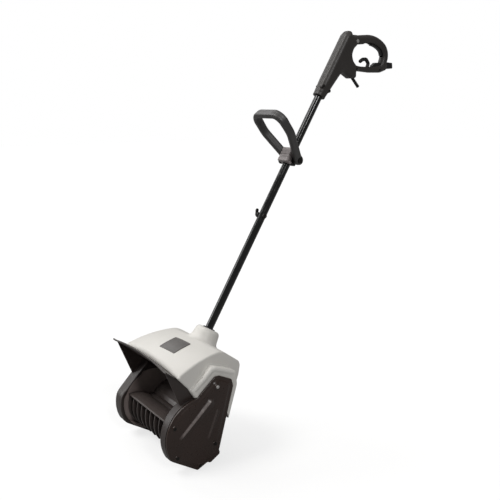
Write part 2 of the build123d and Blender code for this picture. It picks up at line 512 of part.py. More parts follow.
# cable entry below the body
gd = (0.694, -0.72)
ge0, ge1 = (624.0, 916.4), (657.5, 881.6)
gland = bar((0, ge0[0], ge0[1]), (0, ge1[0], ge1[1]), 4.7)
gland += bar((0, ge0[0] + 1.0 * gd[0], ge0[1] + 1.0 * gd[1]), (0, ge0[0] + 5.0 * gd[0], ge0[1] + 5.0 * gd[1]), 7.0)
for k in range(4):
    u0 = 20.0 + 6.5 * k
    gland -= bar((0, ge0[0] + u0 * gd[0], ge0[1] + u0 * gd[1]),
                 (0, ge0[0] + (u0 + 2.2) * gd[0], ge0[1] + (u0 + 2.2) * gd[1]), 9.0) - \
        bar((0, ge0[0], ge0[1]), (0, ge1[0], ge1[1]), 4.2)
bore_in = (ge0[0] - 2 * gd[0], ge0[1] - 2 * gd[1])
bore_out = (ge1[0] + 2 * gd[0], ge1[1] + 2 * gd[1])
handle -= gland
handle -= bar((0, ge0[0] - 14 * gd[0], ge0[1] - 14 * gd[1]), (0, ge0[0] + 0.5 * gd[0], ge0[1] + 0.5 * gd[1]), 3.9)
gland -= bar((0, *bore_in), (0, *bore_out), 3.4)

handle_screws = None
half = Pos(100, 650, 920) * Box(200, 600, 600)
shell_a = (handle & half).solids().sort_by(SortBy.VOLUME)[-1]
shell_b = (handle & (Pos(-200, 0, 0) * half)).solids().sort_by(SortBy.VOLUME)[-1]
for (y, z, x) in [(sh(13.5, 768)[0], sh(13.5, 768)[1], 20.0), (sh(-13.4, 768)[0], sh(-13.4, 768)[1], 20.0),
                  (633, 933, 20.0), (736, 932.5, 11.5)]:
    k = xcyl(1.6, -x + 6, x, y, z) + xcyl(3.2, x - 2.0, x + 0.6, y, z)
    shell_a -= k
    shell_b -= k
    handle_screws = k if handle_screws is None else handle_screws + k

# ---------------------------------------------------------------- written nodes
NODES = {
    "hood_shell": hood, "neck_collar": neck, "neck_seal": seal, "neck_screw": neck_screw,
    "throw_chamber": liner, "end_cap_left": cap_l, "end_lid_left": lid_l, "end_wall_right": cap_r,
    "belt_cover": cover, "cover_screws": cover_screws, "scraper_blade": scraper, "scraper_screws": scraper_screws,
    "rotor_shaft": rod, "rotor_hub": hub, "rotor_paddle_a": paddle_a, "rotor_paddle_b": paddle_b,
    "rotor_bearing_left": bearing_l, "rotor_bearing_right": bearing_r,
    "rotor_pulley": pulley_r, "motor_pulley": pulley_m, "drive_belt": belt,
    "motor_can": motor_can, "motor_bearing_rear": motor_bear_a, "motor_bearing_drive": motor_bear_b,
    "motor_armature": armature, "motor_fan": fan, "motor_bracket": bracket,
    "tube_lower": lower, "tube_upper": upper, "tube_sleeve": sleeve, "tube_rivet": rivet,
    "joint_bolt": joint_bolt, "joint_wing_nut": wing_nut, "supply_lead_inner": lead,
    "bail_handle": bail, "bail_clamp_front": clamp_f, "bail_clamp_rear": clamp_r, "bail_clamp_screws": clamp_screws,
    "bail_bolt": bail_bolt, "bail_knob": knob,
    "handle_shell_left": shell_a, "handle_shell_right": shell_b, "handle_screws": handle_screws,
    "trigger": trigger, "trigger_pin": trigger_pin, "trigger_spring": spring_t,
    "switch_body": switch, "switch_plunger": plunger,
    "lock_button": lock, "lock_spring": lock_spring, "cord_hook": hook, "cable_entry": gland,
}
for name, shape in NODES.items():
    put(name, shape)
print(len(NODES), "nodes written")
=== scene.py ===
import math

import bpy
import numpy as np
from mathutils import Matrix, Vector


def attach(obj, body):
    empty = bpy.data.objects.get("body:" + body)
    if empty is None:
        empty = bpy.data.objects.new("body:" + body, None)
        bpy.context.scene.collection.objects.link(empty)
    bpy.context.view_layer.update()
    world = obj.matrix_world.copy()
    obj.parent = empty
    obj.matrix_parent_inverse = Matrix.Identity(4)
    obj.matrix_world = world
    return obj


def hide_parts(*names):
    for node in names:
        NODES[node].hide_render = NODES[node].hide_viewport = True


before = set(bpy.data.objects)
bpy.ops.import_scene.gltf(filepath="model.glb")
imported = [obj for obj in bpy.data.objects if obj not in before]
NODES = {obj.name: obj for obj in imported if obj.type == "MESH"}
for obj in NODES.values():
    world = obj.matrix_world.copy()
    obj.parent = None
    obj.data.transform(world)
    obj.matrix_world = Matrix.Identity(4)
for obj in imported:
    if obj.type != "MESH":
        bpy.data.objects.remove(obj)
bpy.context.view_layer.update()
FINE = 1.0

# ---------------------------------------------------------------- shared dimensions (mm, rotor axis at zero)
OY, OZ = 712.0, 1018.6
SHAFT_DEG = 58.9
C, S = math.cos(math.radians(SHAFT_DEG)), math.sin(math.radians(SHAFT_DEG))
NECK_Y, NECK_Z = 120.4, 217.1
RI, RO = 86.0, 89.0
LIP_Y, LIP_Z, LIP_CROWN = -95.0, 189.0, 9.0
_la = math.degrees(math.atan2(LIP_Z, LIP_Y))
PHI = _la - math.degrees(math.acos(RO / math.hypot(LIP_Y, LIP_Z)))
TAN = math.sqrt(LIP_Y ** 2 + LIP_Z ** 2 - RO ** 2)
CF, SF = math.cos(math.radians(PHI)), math.sin(math.radians(PHI))
TOP_Y, TOP_Z, TOP_RX, TOP_RY = 65.0, 208.0, 700.0, 347.2
S_CLAMP, S_HANDLE, S_BOLT = 542.0, 741.0, 354.0
GRIP_A, GRIP_RA, GRIP_RB, GRIP_TURN, GRIP_RAD, ALPHA = (693.0, 928.0), 92.6, 35.0, 55.0, 13.4, 95.0
BAIL_N, BAIL_DEG, BAIL_OUT = 15.5, 126.3, 162.0
CAP_R, REAR, LOW, T_WIDE = 101.0, 63.0, 84.5, 54.0


def sh(n, s):
    return (NECK_Y + s * C + n * S, NECK_Z + s * S - n * C)


def L(rad, t):
    return (rad * CF - t * SF, rad * SF + t * CF)


# ---------------------------------------------------------------- signed distance helpers
def smin(a, b, k):
    h = np.maximum(k - np.abs(a - b), 0.0) / k
    return np.minimum(a, b) - h * h * k * 0.25


def smax(a, b, k):
    return -smin(-a, -b, k)


def step(a, b, x):
    t = np.clip((x - a) / (b - a), 0.0, 1.0)
    return t * t * (3.0 - 2.0 * t)


def rounded(pts, radii, n=7):
    """closed outline with its corners turned into arcs"""
    out = []
    m = len(pts)
    for i in range(m):
        r = radii[i] if hasattr(radii, "__len__") else radii
        p, a, b = np.array(pts[i], float), np.array(pts[i - 1], float), np.array(pts[(i + 1) % m], float)
        u, v = a - p, b - p
        lu, lv = np.linalg.norm(u), np.linalg.norm(v)
        u, v = u / lu, v / lv
        half = 0.5 * math.acos(max(-1.0, min(1.0, float(u @ v))))
        if r <= 0.01 or half > 1.55:
            out.append(tuple(p))
            continue
        t = min(r / math.tan(half), 0.48 * lu, 0.48 * lv)
        r = t * math.tan(half)
        bis = (u + v) / np.linalg.norm(u + v)
        c = p + bis * (r / math.sin(half))
        s0, s1 = p + u * t - c, p + v * t - c
        a0, a1 = math.atan2(s0[1], s0[0]), math.atan2(s1[1], s1[0])
        d = (a1 - a0 + math.pi) % (2 * math.pi) - math.pi
        for k in range(n):
            q = a0 + d * k / (n - 1)
            out.append((c[0] + r * math.cos(q), c[1] + r * math.sin(q)))
    return out


def poly(P, Q, pts):
    """signed distance to a closed outline in a plane"""
    shape = np.broadcast(P, Q).shape
    d = np.full(shape, 1e12)
    s = np.ones(shape)
    m = len(pts)
    for i in range(m):
        vx, vy = pts[i]
        ux, uy = pts[i - 1]
        ex, ey = ux - vx, uy - vy
        wx, wy = P - vx, Q - vy
        t = np.clip((wx * ex + wy * ey) / (ex * ex + ey * ey + 1e-12), 0.0, 1.0)
        d = np.minimum(d, (wx - ex * t) ** 2 + (wy - ey * t) ** 2)
        c1, c2, c3 = Q >= vy, Q < uy, ex * wy > ey * wx
        s = np.where((c1 & c2 & c3) | (~c1 & ~c2 & ~c3), -s, s)
    return s * np.sqrt(d)


def chain(P, Q, pts):
    """distance to an open line in a plane"""
    d = np.full(np.broadcast(P, Q).shape, 1e12)
    for (ax, ay), (bx, by) in zip(pts[:-1], pts[1:]):
        ex, ey = bx - ax, by - ay
        wx, wy = P - ax, Q - ay
        t = np.clip((wx * ex + wy * ey) / (ex * ex + ey * ey + 1e-12), 0.0, 1.0)
        d = np.minimum(d, (wx - ex * t) ** 2 + (wy - ey * t) ** 2)
    return np.sqrt(d)


def ext(d2, dx, r):
    """outline carried along a direction, its rims rounded by r"""
    a, b = d2 + r, dx + r
    return np.sqrt(np.maximum(a, 0) ** 2 + np.maximum(b, 0) ** 2) + np.minimum(np.maximum(a, b), 0) - r


def shaft_ns(Y, Z):
    dy, dz = Y - NECK_Y, Z - NECK_Z
    return dy * S - dz * C, dy * C + dz * S


# ---------------------------------------------------------------- surface from a distance field
def nets(F, lo, h):
    Sg = F < 0
    nx, ny, nz = F.shape
    cnt8 = np.zeros((nx - 1, ny - 1, nz - 1), np.uint8)
    for a in (0, 1):
        for b in (0, 1):
            for d in (0, 1):
                cnt8 += Sg[a:nx - 1 + a, b:ny - 1 + b, d:nz - 1 + d]
    act = (cnt8 > 0) & (cnt8 < 8)
    I, J, K = np.nonzero(act)
    idx = np.full(act.shape, -1, np.int64)
    idx[I, J, K] = np.arange(len(I))
    acc, cnt = np.zeros((len(I), 3)), np.zeros(len(I))
    for ax in range(3):
        for b in (0, 1):
            for d in (0, 1):
                p = [0, 0, 0]
                o = [i for i in range(3) if i != ax]
                p[o[0]], p[o[1]] = b, d
                q = list(p)
                q[ax] = 1
                fa = F[I + p[0], J + p[1], K + p[2]]
                fb = F[I + q[0], J + q[1], K + q[2]]
                m = (fa < 0) != (fb < 0)
                t = np.where(m, fa / np.where(m, fa - fb, 1.0), 0.0)
                pos = np.tile(np.array(p, float), (len(I), 1))
                pos[:, ax] = t
                acc[m] += pos[m]
                cnt[m] += 1
    pts = np.array(lo) + (np.stack([I, J, K], 1) + acc / cnt[:, None]) * h
    quads = []
    for ax in range(3):
        o = [(ax + 1) % 3, (ax + 2) % 3]
        sl0, sl1 = [slice(None)] * 3, [slice(None)] * 3
        sl0[ax], sl1[ax] = slice(0, -1), slice(1, None)
        for a in o:
            sl0[a] = sl1[a] = slice(1, -1)
        A, B = Sg[tuple(sl0)], Sg[tuple(sl1)]
        e = np.array(np.nonzero(A != B))
        low = A[tuple(e)]
        for a in o:
            e[a] += 1
        cells = []
        for du, dv in ((-1, -1), (0, -1), (0, 0), (-1, 0)):
            c = e.copy()
            c[o[0]] += du
            c[o[1]] += dv
            cells.append(idx[tuple(c)])
        q = np.stack(cells, 1)
        q[~low] = q[~low][:, ::-1]
        quads.append(q)
    return pts, np.concatenate(quads)


def polish(f, pts, h, rounds=2):
    """moves the points onto the true surface"""
    e = 0.12
    for _ in range(rounds):
        x, y, z = pts[:, 0], pts[:, 1], pts[:, 2]
        v = f(x, y, z)
        g = np.stack([f(x + e, y, z) - f(x - e, y, z), f(x, y + e, z) - f(x, y - e, z),
                      f(x, y, z + e) - f(x, y, z - e)], 1) / (2 * e)
        move = g * (v / np.maximum((g ** 2).sum(1), 0.3))[:, None]
        ln = np.linalg.norm(move, axis=1)
        move *= np.minimum(1.0, 0.45 * h / np.maximum(ln, 1e-9))[:, None]
        pts = pts - move
    return pts


def mesh_object(name, pts, quads, material):
    """pts in mm, rotor axis at zero"""
    me = bpy.data.meshes.new(name)
    co = (pts - np.array([0.0, OY, OZ])) / 1000.0
    used = np.zeros(len(co), bool)
    used[quads.ravel()] = True
    remap = np.cumsum(used) - 1
    co, quads = co[used], remap[quads]
    me.vertices.add(len(co))
    me.vertices.foreach_set("co", co.astype(np.float32).ravel())
    me.loops.add(quads.size)
    me.loops.foreach_set("vertex_index", quads.astype(np.int32).ravel())
    me.polygons.add(len(quads))
    me.polygons.foreach_set("loop_start", np.arange(0, quads.size, 4, dtype=np.int32))
    me.polygons.foreach_set("use_smooth", np.ones(len(quads), bool))
    me.update(calc_edges=True)
    me.validate()
    ob = bpy.data.objects.new(name, me)
    bpy.context.scene.collection.objects.link(ob)
    me.materials.append(material)
    return ob


def skin(name, f, lo, hi, h, material, body, nodes):
    h = h * FINE
    n = [int(math.ceil((hi[i] - lo[i]) / h)) + 1 for i in range(3)]
    ax = [lo[i] + h * np.arange(n[i]) for i in range(3)]
    F = f(ax[0][:, None, None], ax[1][None, :, None], ax[2][None, None, :])
    F = np.ascontiguousarray(np.broadcast_to(F, n)).astype(np.float32)
    pts, quads = nets(F, lo, h)
    pts = polish(f, pts, h)
    ob = mesh_object(name, pts, quads, material)
    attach(ob, body)
    if nodes:
        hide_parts(*nodes)
    return ob


# ---------------------------------------------------------------- materials
def new_mat(name):
    m = bpy.data.materials.new(name)
    m.use_nodes = True
    nt = m.node_tree
    return m, nt, nt.nodes["Principled BSDF"]


def node(nt, kind, **props):
    n = nt.nodes.new(kind)
    for k, v in props.items():
        setattr(n, k, v)
    return n


def noise(nt, vec, scale, detail=3.0, rough=0.55):
    n = node(nt, "ShaderNodeTexNoise")
    n.inputs["Scale"].default_value = scale
    n.inputs["Detail"].default_value = detail
    n.inputs["Roughness"].default_value = rough
    nt.links.new(vec, n.inputs["Vector"])
    return n.outputs["Fac"]


def ranged(nt, fac, a, b, lo=0.3, hi=0.7):
    n = node(nt, "ShaderNodeMapRange")
    n.inputs["From Min"].default_value = lo
    n.inputs["From Max"].default_value = hi
    n.inputs["To Min"].default_value = a
    n.inputs["To Max"].default_value = b
    nt.links.new(fac, n.inputs["Value"])
    return n.outputs["Result"]


def mixed(nt, fac, a, b):
    n = node(nt, "ShaderNodeMix", data_type="RGBA")
    nt.links.new(fac, n.inputs["Factor"])
    for sock, val in ((n.inputs["A"], a), (n.inputs["B"], b)):
        if isinstance(val, (tuple, list)):
            sock.default_value = (*val, 1.0)
        else:
            nt.links.new(val, sock)
    return n.outputs["Result"]


def bumped(nt, bsdf, height, strength, dist, prior=None):
    n = node(nt, "ShaderNodeBump")
    n.inputs["Strength"].default_value = strength
    n.inputs["Distance"].default_value = dist
    nt.links.new(height, n.inputs["Height"])
    if prior is not None:
        nt.links.new(prior, n.inputs["Normal"])
    nt.links.new(n.outputs["Normal"], bsdf.inputs["Normal"])
    return n.outputs["Normal"]


def tint(c, k):
    return tuple(min(1.0, x * k) for x in c)


def within(nt, pos, keep, r, soft):
    """1 within r of the rotor's middle, counted along the axes that keep leaves, 0 further out, soft each side: where
    painted light goes
    """
    a = node(nt, "ShaderNodeVectorMath", operation="ADD")
    a.inputs[1].default_value = (0.0, OY / 1000.0, OZ / 1000.0)
    k = node(nt, "ShaderNodeVectorMath", operation="MULTIPLY")
    k.inputs[1].default_value = keep
    n = node(nt, "ShaderNodeVectorMath", operation="LENGTH")
    nt.links.new(pos, a.inputs[0])
    nt.links.new(a.outputs["Vector"], k.inputs[0])
    nt.links.new(k.outputs["Vector"], n.inputs[0])
    return ranged(nt, n.outputs["Value"], 1.0, 0.0, r - soft, r + soft)


def along_rib(nt, pos, p, q, low, high):
    """1 on a band beside the line p to q on the head's side, from low to high off it, 0 elsewhere: where a painted
    highlight goes
    """
    ln = math.hypot(q[0] - p[0], q[1] - p[1])
    e = ((q[0] - p[0]) / ln, (q[1] - p[1]) / ln)
    out = None
    for axis, windows in (((0.0, e[1], -e[0]), ((low - 1.2, low, 0, 1), (high, high + 2.5, 1, 0))),
                          ((0.0, e[0], e[1]), ((-3.0, 5.0, 0, 1), (ln - 14.0, ln, 1, 0)))):
        a = node(nt, "ShaderNodeVectorMath", operation="ADD")
        a.inputs[1].default_value = (0.0, (OY - p[0]) / 1000.0, (OZ - p[1]) / 1000.0)
        k = node(nt, "ShaderNodeVectorMath", operation="DOT_PRODUCT")
        k.inputs[1].default_value = axis
        nt.links.new(pos, a.inputs[0])
        nt.links.new(a.outputs["Vector"], k.inputs[0])
        for f0, f1, v0, v1 in windows:
            w = ranged(nt, k.outputs["Value"], v0, v1, f0 / 1000.0, f1 / 1000.0)
            if out is None:
                out = w
            else:
                m = node(nt, "ShaderNodeMath", operation="MULTIPLY")
                nt.links.new(out, m.inputs[0])
                nt.links.new(w, m.inputs[1])
                out = m.outputs["Value"]
    return out


def plastic(name, col, rough, grain=1600.0, bump=0.1, var=0.06, scuff=0.0, edge=0.0, spec=0.5, coat=0.0, speck=0.2,
            inside_painted_light=None, rub=2.2, rib_painted_highlights=()):
    """moulded plastic: slow colour drift, spark-eroded grain, scuffs, paler edges that are wear and on the belt cover
    also painted highlight, pale bands that are painted highlight, and a paler interior that is painted light
    """
    m, nt, b = new_mat(name)
    pos = node(nt, "ShaderNodeTexCoord").outputs["Object"]
    drift = noise(nt, pos, 14.0, 4.0)
    fine = noise(nt, pos, grain, 2.0, 0.6)
    colour = mixed(nt, ranged(nt, drift, 0, 1), tint(col, 1 - var), tint(col, 1 + var))
    colour = mixed(nt, ranged(nt, fine, 0.0, speck), colour, tint(col, 0.72))
    if scuff > 0:
        mp = node(nt, "ShaderNodeMapping")
        mp.inputs["Scale"].default_value = (60.0, 220.0, 35.0)
        mp.inputs["Rotation"].default_value = (0.5, 0.3, 0.9)
        nt.links.new(pos, mp.inputs["Vector"])
        sc = noise(nt, mp.outputs["Vector"], 1.0, 6.0, 0.7)
        colour = mixed(nt, ranged(nt, sc, 0.0, scuff, 0.62, 0.8), colour, tint(col, 1.9))
    # paler convex edges: wear; with the belt cover's stronger setting they are also painted highlight along its ridges
    if edge > 0:
        geo = node(nt, "ShaderNodeNewGeometry")
        colour = mixed(nt, ranged(nt, geo.outputs["Pointiness"], 0.0, edge, 0.52, 0.62), colour, tint(col, rub))
    # pale bands beside the belt cover's raised ridges: painted highlight on their front flanks
    for p, q, low, high, amount, pale in rib_painted_highlights:
        painted_light = mixed(nt, ranged(nt, noise(nt, pos, 160.0, 4.0), 0, 1), tint(pale, 0.7), tint(pale, 1.2))
        k = node(nt, "ShaderNodeMath", operation="MULTIPLY")
        k.inputs[1].default_value = amount
        nt.links.new(along_rib(nt, pos, p, q, low, high), k.inputs[0])
        colour = mixed(nt, k.outputs["Value"], colour, painted_light)
    # paler colour on the drum's and end plate's interior, by distance from the rotor's middle: painted light where the
    # interior is lit
    if inside_painted_light:
        pale, places = inside_painted_light[0], [within(nt, pos, *w) for w in inside_painted_light[1:]]
        fac = places[0]
        for w in places[1:]:
            k = node(nt, "ShaderNodeMath", operation="MULTIPLY")
            nt.links.new(fac, k.inputs[0])
            nt.links.new(w, k.inputs[1])
            fac = k.outputs["Value"]
        painted_light = mixed(nt, ranged(nt, drift, 0, 1), tint(pale, 0.82), tint(pale, 1.15))
        painted_light = mixed(nt, ranged(nt, fine, 0.0, speck), painted_light, tint(pale, 0.75))
        colour = mixed(nt, fac, colour, painted_light)
    nt.links.new(colour, b.inputs["Base Color"])
    nt.links.new(ranged(nt, noise(nt, pos, 120.0, 4.0), rough - 0.05, rough + 0.07), b.inputs["Roughness"])
    b.inputs["Specular IOR Level"].default_value = spec
    if coat > 0:
        b.inputs["Coat Weight"].default_value = coat
        b.inputs["Coat Roughness"].default_value = 0.16
    first = bumped(nt, b, fine, bump, 0.0004)
    bumped(nt, b, noise(nt, pos, 55.0, 2.0), 0.05, 0.002, first)
    return m


def grained(name, col, rough, cell=900.0, bump=0.3, spec=0.5):
    """grip plastic with a fine pebbled texture"""
    m, nt, b = new_mat(name)
    pos = node(nt, "ShaderNodeTexCoord").outputs["Object"]
    vor = node(nt, "ShaderNodeTexVoronoi")
    vor.inputs["Scale"].default_value = cell
    nt.links.new(pos, vor.inputs["Vector"])
    drift = noise(nt, pos, 18.0, 4.0)
    colour = mixed(nt, ranged(nt, drift, 0, 1), tint(col, 0.9), tint(col, 1.12))
    colour = mixed(nt, ranged(nt, vor.outputs["Distance"], 0.0, 0.18, 0.3, 0.8), colour, tint(col, 0.55))
    geo = node(nt, "ShaderNodeNewGeometry")
    colour = mixed(nt, ranged(nt, geo.outputs["Pointiness"], 0.0, 0.35, 0.53, 0.65), colour, tint(col, 1.9))
    nt.links.new(colour, b.inputs["Base Color"])
    nt.links.new(ranged(nt, noise(nt, pos, 90.0, 3.0), rough - 0.02, rough + 0.03), b.inputs["Roughness"])
    b.inputs["Specular IOR Level"].default_value = spec
    bumped(nt, b, vor.outputs["Distance"], bump, 0.0003)
    return m


def paint(name, col, rough, peel=420.0, coat=0.5):
    """gloss powder coat with a faint orange peel and rubbed streaks"""
    m, nt, b = new_mat(name)
    pos = node(nt, "ShaderNodeTexCoord").outputs["Object"]
    pe = noise(nt, pos, peel, 2.0)
    rub = noise(nt, pos, 40.0, 5.0, 0.65)
    colour = mixed(nt, ranged(nt, rub, 0, 0.5, 0.5, 0.75), col, tint(col, 2.0))
    nt.links.new(colour, b.inputs["Base Color"])
    nt.links.new(ranged(nt, rub, rough, rough + 0.14, 0.45, 0.75), b.inputs["Roughness"])
    b.inputs["Coat Weight"].default_value = coat
    b.inputs["Coat Roughness"].default_value = 0.1
    bumped(nt, b, pe, 0.06, 0.0004)
    return m


def metal(name, col, rough, stretch=(40.0, 900.0, 900.0), bump=0.08, bare=None):
    """bare metal with fine drawn lines and dull spots; bare gives a height and the colour above it"""
    m, nt, b = new_mat(name)
    pos = node(nt, "ShaderNodeTexCoord").outputs["Object"]
    mp = node(nt, "ShaderNodeMapping")
    mp.inputs["Scale"].default_value = stretch
    nt.links.new(pos, mp.inputs["Vector"])
    lines = noise(nt, mp.outputs["Vector"], 1.0, 3.0)
    spots = noise(nt, pos, 260.0, 4.0)
    colour = mixed(nt, ranged(nt, lines, 0, 1), tint(col, 0.85), tint(col, 1.08))
    colour = mixed(nt, ranged(nt, spots, 0.0, 0.4, 0.55, 0.75), colour, tint(col, 0.5))
    if bare:
        z = node(nt, "ShaderNodeSeparateXYZ")
        nt.links.new(pos, z.inputs["Vector"])
        pale = mixed(nt, ranged(nt, spots, 0, 1), tint(bare[1], 0.8), bare[1])
        colour = mixed(nt, ranged(nt, z.outputs["Z"], 0.0, 1.0, bare[0], bare[0] + 0.001), colour, pale)
    nt.links.new(colour, b.inputs["Base Color"])
    nt.links.new(ranged(nt, spots, rough - 0.05, rough + 0.15), b.inputs["Roughness"])
    b.inputs["Metallic"].default_value = 1.0
    bumped(nt, b, lines, bump, 0.0002)
    return m


def rubber(name, col, rough=0.7):
    m, nt, b = new_mat(name)
    pos = node(nt, "ShaderNodeTexCoord").outputs["Object"]
    g = noise(nt, pos, 1100.0, 3.0)
    dust = noise(nt, pos, 70.0, 5.0, 0.65)
    colour = mixed(nt, ranged(nt, dust, 0, 0.35, 0.5, 0.78), col, tint(col, 2.4))
    nt.links.new(colour, b.inputs["Base Color"])
    nt.links.new(ranged(nt, g, rough - 0.08, rough + 0.1), b.inputs["Roughness"])
    b.inputs["Specular IOR Level"].default_value = 0.3
    bumped(nt, b, g, 0.2, 0.0003)
    return m


WHITE = plastic("hood_white_plastic", (0.675, 0.658, 0.622), 0.40, 1500.0, 0.05, 0.02, 0.03, 0.0, 0.35, 0.0, 0.06)
BLACK = plastic("brown_black_plastic", (0.034, 0.026, 0.023), 0.38, 1500.0, 0.07, 0.12, 0.15, 0.30, 0.58)
# belt cover plastic: its paler edges are wear and painted highlight, and the two pale bands beside its ridges are
# painted highlight
COVER = plastic("belt_cover_painted_highlight_plastic", (0.027, 0.0145, 0.0105), 0.30, 1300.0, 0.015, 0.12, 0.06, 0.5, 0.50,
                rub=3.0, rib_painted_highlights=(((29, 87), (-63, 3), -0.6, 4.6, 0.9, (0.16, 0.130, 0.122)),
                               ((48, 54), (18, -20), -0.4, 2.8, 0.35, (0.12, 0.095, 0.088))))
# right end wall: a darker copy of the end plate's plastic, painted shade
END_WALL_PAINTED_SHADE = plastic("end_wall_painted_shade_plastic", (0.021, 0.0145, 0.0125), 0.38, 1300.0, 0.02, 0.12, 0.06, 0.30, 0.50)
# drum plastic: its paler interior near the rotor is painted light
CHAMBER = plastic("chamber_painted_light_plastic", (0.020, 0.0125, 0.0100), 0.38, 1300.0, 0.06, 0.12, 0.15, 0.25, 0.65,
                  inside_painted_light=((0.33, 0.270, 0.252), ((1, 0, 0), 0.1385, 0.0006), ((0, 1, 1), 0.140, 0.045)))
# left end plate plastic: its paler inner face near the rotor is painted light
PLATE = plastic("end_plate_painted_light_plastic", (0.028, 0.0210, 0.0185), 0.38, 1500.0, 0.07, 0.12, 0.15, 0.30, 0.58,
                inside_painted_light=((0.22, 0.180, 0.168), ((0, 1, 1), 0.0885, 0.0006)))
ROTOR = plastic("rotor_plastic", (0.048, 0.0385, 0.0355), 0.38, 1100.0, 0.08, 0.15, 0.40, 0.6, 0.6)
GRIP = grained("grip_charcoal_plastic", (0.031, 0.0265, 0.0240), 0.44, 2200.0, 0.015, 0.48)
BAIL = grained("bail_charcoal_plastic", (0.022, 0.0195, 0.0185), 0.47, 2200.0, 0.012, 1.0)
DARK = plastic("fitting_black_plastic", (0.011, 0.010, 0.010), 0.38, 1200.0, 0.08, 0.1, 0.1, 0.3, 0.4)
# front clamp: grey plastic made paler as a painted highlight
CLAMP_PAINTED_HIGHLIGHT = plastic("clamp_grey_painted_highlight_plastic", (0.24, 0.21, 0.206), 0.42, 1300.0, 0.08, 0.1, 0.15, 0.2, 0.7)
PANEL = plastic("panel_grey_satin", (0.105, 0.098, 0.092), 0.34, 2200.0, 0.05, 0.10, 0.10, 0.0, 0.45)
# lock button and switch plunger: light grey that is a painted highlight
BUTTON_PAINTED_HIGHLIGHT = plastic("button_grey_painted_highlight_plastic", (0.30, 0.29, 0.28), 0.40, 1400.0, 0.08, 0.06, 0.1)
TUBE = paint("tube_black_paint", (0.006, 0.006, 0.006), 0.13, 420.0, 0.0)
BLADE = paint("scraper_black_paint", (0.014, 0.013, 0.013), 0.36, 600.0, 0.10)
STEEL = metal("plated_steel", (0.60, 0.60, 0.59), 0.30)
OXIDE = metal("black_oxide_steel", (0.045, 0.042, 0.040), 0.46)
ZINC = metal("cover_screw_steel", (0.045, 0.042, 0.040), 0.42, bare=(-0.93, (0.80, 0.78, 0.76)))
IRON = metal("motor_steel", (0.36, 0.36, 0.37), 0.42, (300.0, 700.0, 700.0), 0.12)
COPPER = metal("motor_copper", (0.62, 0.33, 0.18), 0.36, (900.0, 200.0, 200.0), 0.15)
RUBBER = rubber("black_rubber", (0.016, 0.016, 0.016))

# ---------------------------------------------------------------- white hood with its neck
BODY = [(-64, 214), (66, 214), (72, 209), (151, 151), (155, 139), (149, 112), (112, 34), (80, -36), (60, -62),
        (45, -50), (0, 0), (-11, 98), (-30, 127), (-62, 163)]
POD = [(-13, 100), (-25.5, 121), (12, 149.5), (35, 170), (48, 172), (83, 159), (112, 146), (115.5, 108), (62, -65),
       (48, -58), (0, 0)]
POD_MOUTH = [(-7, 99), (44, 141.5), (57, 142.5), (90, 126), (95, 110), (74, 34), (0, -20)]
BODY_R = rounded(BODY, [0, 0, 0, 14, 14, 20, 30, 12, 3, 0, 0, 0, 30, 0])
POD_R = rounded(POD, [0, 3, 10, 13, 12, 12, 14, 30, 3, 0, 0], 5)
MOUTH_R = rounded(POD_MOUTH, 5, 4)
HEEL = [(30, -40), (49, -50), (57, -64), (56, -71.5), (27, -89), (0, -75)]
HEEL_R = rounded(HEEL, [0, 4, 4, 3, 6, 0], 5)


def end_disc(Y, Z, r, rear, low, k=3.0):
    d = np.hypot(Y, Z) - r
    d = smax(d, Y * 0.96 - Z * 0.28 - rear, k)
    d = smax(d, -Y * 0.53 - Z * 0.848 - (low + 5.0), k)
    return smax(d, Y * 0.41 - Z * 0.912 - low, k)


UPPER = [(-60, 70.2), (-11.9, 120.3), (3, 112), (3, 80)]


def left_disc(Y, Z, d, k=3.0):
    """left end plate's outline, d inside it: round, with a straight upper edge that runs up to the throwing plate"""
    e = smax(end_disc(Y, Z, CAP_R - d, REAR - d, LOW - d, k), -0.7156 * Y + 0.6985 * Z - (92.0 - d), k)
    return np.minimum(e, poly(Y, Z, UPPER) + d)


def plate_rise(X, t):
    """how far the crowned throwing plate stands above its flat"""
    return LIP_CROWN * np.clip((t - T_WIDE) / (TAN - T_WIDE), 0.0, 1.2) * np.maximum(1.0 - (X / 142.0) ** 2, 0.0)


def hood(X, Y, Z):
    ax = np.abs(X)
    body = poly(Y, Z, BODY_R)
    rx = np.hypot(X, Z - (TOP_Z - TOP_RX)) - (TOP_RX - TOP_RY)
    top = np.hypot(rx, Y - TOP_Y) - TOP_RY
    side = smax((ax - 154.0) * 0.978 + (Y + 64.0) * 0.208, ax - 154.0, 2.0)
    d = smax(body, top, 10.0)
    d = smax(d, side, 5.0)
    d2 = poly(Y, Z, POD_R)
    pod = ext(d2, ax - 151.2, 3.5)
    bead = np.sqrt((d2 + 7.0) ** 2 + (ax - 146.3) ** 2) - 7.4
    d = smin(d, pod, 4.0)
    d = smin(d, bead, 2.0)
    n, s = shaft_ns(Y, Z)
    rho = np.hypot(X, n)
    neck = smax(rho - (33.5 + (2.0 - s) * 0.147), s - 2.4, 11.0)
    neck = smax(neck, -s - 56.0, 4.0)
    d = smin(d, neck, 11.0)
    shell = np.maximum(d, -(d + 3.2))
    shell = np.maximum(shell, -np.maximum(poly(Y, Z, MOUTH_R), np.maximum(146.0 - X, X - 170.0)))
    shell = np.maximum(shell, -(np.hypot(Y, Z) - (RO + 0.3)))
    rad, t = Y * CF + Z * SF, -Y * SF + Z * CF
    shell = np.maximum(shell, -np.maximum(np.maximum(rad - (RO + 0.3) - plate_rise(X, t), -(t + 2.0)), ax - 142.3))
    cap = np.minimum(end_disc(Y, Z, CAP_R + 0.3, REAR + 0.3, LOW + 0.3, 0.5), poly(Y, Z, HEEL) - 0.3)
    shell = np.maximum(shell, -np.maximum(cap, 123.7 - X))
    shell = np.maximum(shell, -np.maximum(left_disc(Y, Z, -0.3, 0.5), X + 121.7))
    return np.maximum(shell, -np.maximum(rho - 11.1, np.abs(s) - 90.0))


